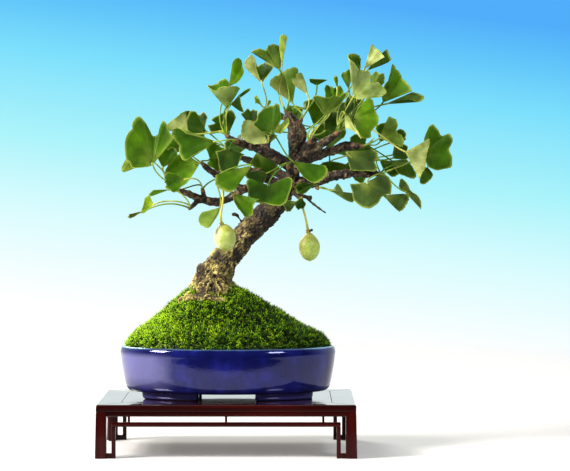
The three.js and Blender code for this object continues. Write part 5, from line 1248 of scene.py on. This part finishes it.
def stalk(start, out, leaf, seed, tone):
    """A stalk: a cubic Bezier curve out of the bud along the spur, rising and a little to one side,
    and in along the midrib to the blade's root, a little thicker at both ends."""
    foot, rib, _, turn, slope, axis, below = leaf_frame(leaf)
    span, root = np.linalg.norm(foot - start), leaf_root * leaf[6]
    end = foot + axis * root * math.cos(slope) + below * root * math.sin(slope) * math.cos(turn) + rib * 0.8
    aside = (1.9 * (chance(seed, 21) - 0.5), 0.9 * (chance(seed, 22) - 0.5), 0.5)
    leave = out * 0.6 * (1, 1, out[2] > 0) + aside
    t = np.linspace(0, 1, 19)[:, None]
    line = ((1 - t) ** 3 * start + 3 * t * (1 - t) ** 2 * (start + leave * 0.36 * span)
            + 3 * t ** 2 * (1 - t) * (foot - rib * 0.34 * span) + t ** 3 * end)
    radius = 0.5 + 0.22 * (1 - t) ** 6 + 0.14 * t ** 8
    code = "ccd070" if tone in "hypk" else ("94b040", "b4c860", "60842a")[seed % 3]
    return coloured(skinned(tube(limb_frames(np.hstack([line, radius]), 1), 8)), code, 0.5)


def bud(tip, out):
    """A bud: a blunt cone with three rows of scales, each row standing out at its foot."""
    up = np.linspace(0, 1, 16)
    radius = 1.6 * np.sqrt(1 - 0.75 * up ** 2) * (1 - 0.16 * (3 * up % 1))
    line = np.array(tip) + out * (-0.5 + 3.2 * up[:, None])
    rings = tube(limb_frames(np.column_stack([line, radius]), 1), 12)
    return coloured(skinned(rings), "946c56", 0.9)


def leaf_material(name, veined):
    """Thin blade or stalk: tint from the leaf, paler forking veins, mottling, a waxy gloss above,
    and light coming through."""
    made, tree, output = new_material(name)
    place = add_node(tree, "TexCoord").outputs["Object"]
    tint = add_node(tree, "Attribute", {}, attribute_name="tint").outputs["Color"]
    mottle = noise(tree, place, 260, 4)
    fine = noise(tree, place, 2200, 2)
    tint = blended(tree, 1.0, tint, ramp(tree, mottle, (0.3, "d4d8a8"), (0.7, "ffffff")), "MULTIPLY")
    broad = noise(tree, place, 75, 1.5, Distortion=0.4)
    tint = blended(tree, 1.0, tint, ramp(tree, broad, (0.36, "b0bc9c"), (0.62, "fffff4")), "MULTIPLY")
    height = fine
    if veined:
        plane = add_node(tree, "SeparateXYZ", {0: add_node(tree, "UVMap", {}, uv_map="blade").outputs[0]})
        coarse, forked = (
            maths(tree, "ABSOLUTE", maths(tree, "SINE", maths(tree, "MULTIPLY", plane.outputs[0], each)))
            for each in (26.0, 52.0))
        split = mapped(tree, plane.outputs[1], 0.35, 0.6)
        veins = blended(tree, split, coarse, forked)
        tint = blended(tree, 1.0, tint, ramp(tree, veins, (0.0, "ffffff"), (0.5, "ccd4b8")), "MULTIPLY")
        height = maths(tree, "MULTIPLY_ADD", fine, 0.3, veins)
    relief = relief_of(tree, height, 0.35, 0.00015)
    rough = mapped(tree, mottle, 0, 1, 0.4, 0.62)
    surface = add_node(tree, "BsdfPrincipled", {
        "Base Color": tint, "Roughness": rough, "Normal": relief, "IOR": 1.26})
    lit = blended(tree, 0.5, tint, linear("bce404"))
    glow = add_node(tree, "BsdfTranslucent", {"Color": lit, "Normal": relief})
    mixed = add_node(tree, "MixShader",
                     {0: 0.34 if veined else 0.12, 1: surface.outputs[0], 2: glow.outputs[0]})
    tree.links.new(mixed.outputs[0], output.inputs["Surface"])
    return made


def grown_piece(name, surface, materials):
    """A mesh from points with a blade's columns: its tint and map are kept, and the materials are
    added in order."""
    points, triangles = surface
    piece = new_mesh(name, points[:, :3], triangles)
    tint = piece.data.attributes.new("tint", "FLOAT_COLOR", "POINT")
    colours = np.column_stack([points[:, 3:6], np.ones(len(points))])
    tint.data.foreach_set("color", colours.astype(np.float32).ravel())
    spread = piece.data.uv_layers.new(name="blade")
    spread.data.foreach_set("uv", points[triangles.ravel(), 6:8].astype(np.float32).ravel())
    for material in materials:
        piece.data.materials.append(material)
    return piece


leaf_materials = (leaf_material("ginkgo_leaf", True), leaf_material("ginkgo_stalk", False))
seed = 1
for name, (start, tip, tones, leaves) in sprays.items():
    out = np.array(tip) - start
    out = out / np.linalg.norm(out)
    blades = [blade(leaf, rims.get((name, i)), seed + i, tones[i]) for i, leaf in enumerate(leaves)]
    stalks = [bud(tip, out)] + [stalk(np.array(tip) + out * 1.4, out, leaf, seed + i, tones[i])
                                for i, leaf in enumerate(leaves)]
    spray = grown_piece("leaves_" + name + "_grown", together(blades + stalks), leaf_materials)
    kinds = np.ones(len(spray.data.polygons), np.int32)
    kinds[:sum(len(triangles) for _, triangles in blades)] = 0
    spray.data.polygons.foreach_set("material_index", kinds)
    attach(spray, "root")
    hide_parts("leaves_" + name)
    seed += len(leaves)


# The two fruits are naked seeds in a plump fleshy coat, pale green with a waxy bloom, each hung
# on a long stalk with a thick collar. The right one keeps the black scar of a seed that failed.
def fruit(path, middle, radius, high, tilt, pointed, codes, scars=()):
    """A plum form turned about its axis: a circle's outline narrowed towards the stalk by the
    square of its height, with a small tip, tilted, riper near the stalk and with its left side
    painted, paler on the left fruit as a painted highlight and olive on the right fruit as painted
    shade; then its stalk, its collar, and each scar of a failed seed as a short black stub."""
    steps = 48
    t = np.linspace(-math.pi / 2, math.pi / 2, steps)
    narrow = 1 - 1.2 * pointed * np.maximum(0, np.sin(t)) ** 2
    wide, up = radius * np.cos(t) * narrow + 0.02, high / 2 * np.sin(t)
    up = up + 0.5 * np.exp(-(wide / 0.7) ** 2) * np.where(t < 0, -1, 0)
    turns = np.linspace(0, 2 * math.pi, steps, endpoint=False)
    round_it = 1 + 0.012 * np.sin(3 * turns + 1) + 0.01 * np.sin(2 * turns)
    rings = np.stack([wide[:, None] * np.cos(turns) * round_it, wide[:, None] * np.sin(turns) * round_it,
                      np.broadcast_to(up[:, None], (steps, steps))], -1)
    lean = math.radians(tilt)
    rings = rings @ np.array([(math.cos(lean), 0, math.sin(lean)), (0, 1, 0),
                              (-math.sin(lean), 0, math.cos(lean))])
    line = through([(*point, 0.8) for point in path], 8)
    run = np.linspace(0, 1, len(line))
    line[:, 3] = 0.72 + 0.3 * run ** 6 + 0.25 * (1 - run) ** 8
    end = np.array(path[-1])
    rise = np.linspace(1.3, -1.5, 12)
    collar = 0.95 + 0.55 * np.sqrt(np.clip(1 - ((rise + 0.5) / 1.9) ** 2, 0, 1)) + 0.18 * np.sin(4 * rise)
    lips = np.column_stack([np.broadcast_to(end, (12, 3)) + np.outer(rise, (0, 0, 1.0)), collar])
    knobs = [coloured(skinned(tube(limb_frames(through(scar, 4), 1), 12)), "1e140c", 0) for scar in scars]
    flesh = coloured(skinned(rings + np.array(middle)), codes[0], 0)
    ripe = 0.55 * smoothly(flesh[0][:, 2] - middle[2], 0, high / 2)[:, None]
    flesh[0][:, 3:6] = flesh[0][:, 3:6] * (1 - ripe) + ripe * linear(codes[2])[:3]
    # Painted light and shade: the left side is blended to the fourth colour, pale on the left fruit as a
    # highlight, olive on the right fruit as shade.
    painted_left_side = 0.75 * smoothly(middle[0] - flesh[0][:, 0], 0, radius)[:, None]
    flesh[0][:, 3:6] = flesh[0][:, 3:6] * (1 - painted_left_side) + painted_left_side * linear(codes[3])[:3]
    return together([
        flesh,
        coloured(skinned(tube(limb_frames(line, 1), 12)), codes[1], 0),
        coloured(skinned(tube(limb_frames(lips, 1), 20)), codes[2], 0)] + knobs)


def fruit_material():
    """Waxy skin: the fruit's tint with a cloudy bloom, fine pale dots and a few brown freckles."""
    made, tree, output = new_material("waxy_fruit")
    place = add_node(tree, "TexCoord").outputs["Object"]
    tint = add_node(tree, "Attribute", {}, attribute_name="tint").outputs["Color"]
    bloom = noise(tree, place, 180, 5)
    dots = add_node(tree, "Group", {}, node_tree=speckle)
    tree.links.new(place, dots.inputs["Vector"])
    dots.inputs["Scale"].default_value = 1500
    cloudy = blended(tree, 1.0, tint, ramp(tree, bloom, (0.3, "c4c890"), (0.7, "ffffff")), "MULTIPLY")
    dot = mapped(tree, dots.outputs["Height"], 0.72, 0.9, 0, 0.35)
    cloudy = blended(tree, dot, cloudy, linear("e4e8b0"))
    freckle = mapped(tree, dots.outputs["Tone"], 0.93, 0.97, 0, 0.35)
    cloudy = blended(tree, freckle, cloudy, linear("7c7030"))
    relief = relief_of(tree, dots.outputs["Height"], 0.25, 0.0001)
    rough = mapped(tree, bloom, 0, 1, 0.3, 0.55)
    skin = add_node(tree, "BsdfPrincipled", {
        "Base Color": cloudy, "Roughness": rough, "Normal": relief,
        "Subsurface Weight": 0.25, "Subsurface Radius": (0.003, 0.003, 0.001), "Subsurface Scale": 1.0})
    tree.links.new(skin.outputs[0], output.inputs["Surface"])
    return made


waxy = fruit_material()
# The fourth colour of each fruit is its painted left side.
hung = {
    "fruit_left": fruit([(-2.6, -27.4, 183.6), (-2.8, -30, 174), (-4.2, -31, 163), (-3.6, -31, 157.5)],
                        (-1.5, -31, 148.2), 7.5, 18.6, 8, 0.05, ("b0c064", "ccc434", "b8b040", "f0f4c4")),
    "fruit_right": fruit([(49.3, -9.4, 173.5), (52, -11.6, 168), (54.2, -12.8, 160), (55.6, -13, 152.5)],
                         (56.5, -13, 141.6), 7.3, 20, 3, 0.36, ("b0c860", "b4b040", "a08840", "a89c50"),
                         [[(56.2, -13.4, 151.6, 0.5), (57.4, -13.8, 152.4, 0.6), (58.2, -14, 153, 1.1),
                           (58.9, -14.1, 153.4, 0.4)]]),
}
for name, surface in hung.items():
    piece = grown_piece(name + "_ripe", surface, [waxy])
    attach(piece, "root")
    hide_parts(name)
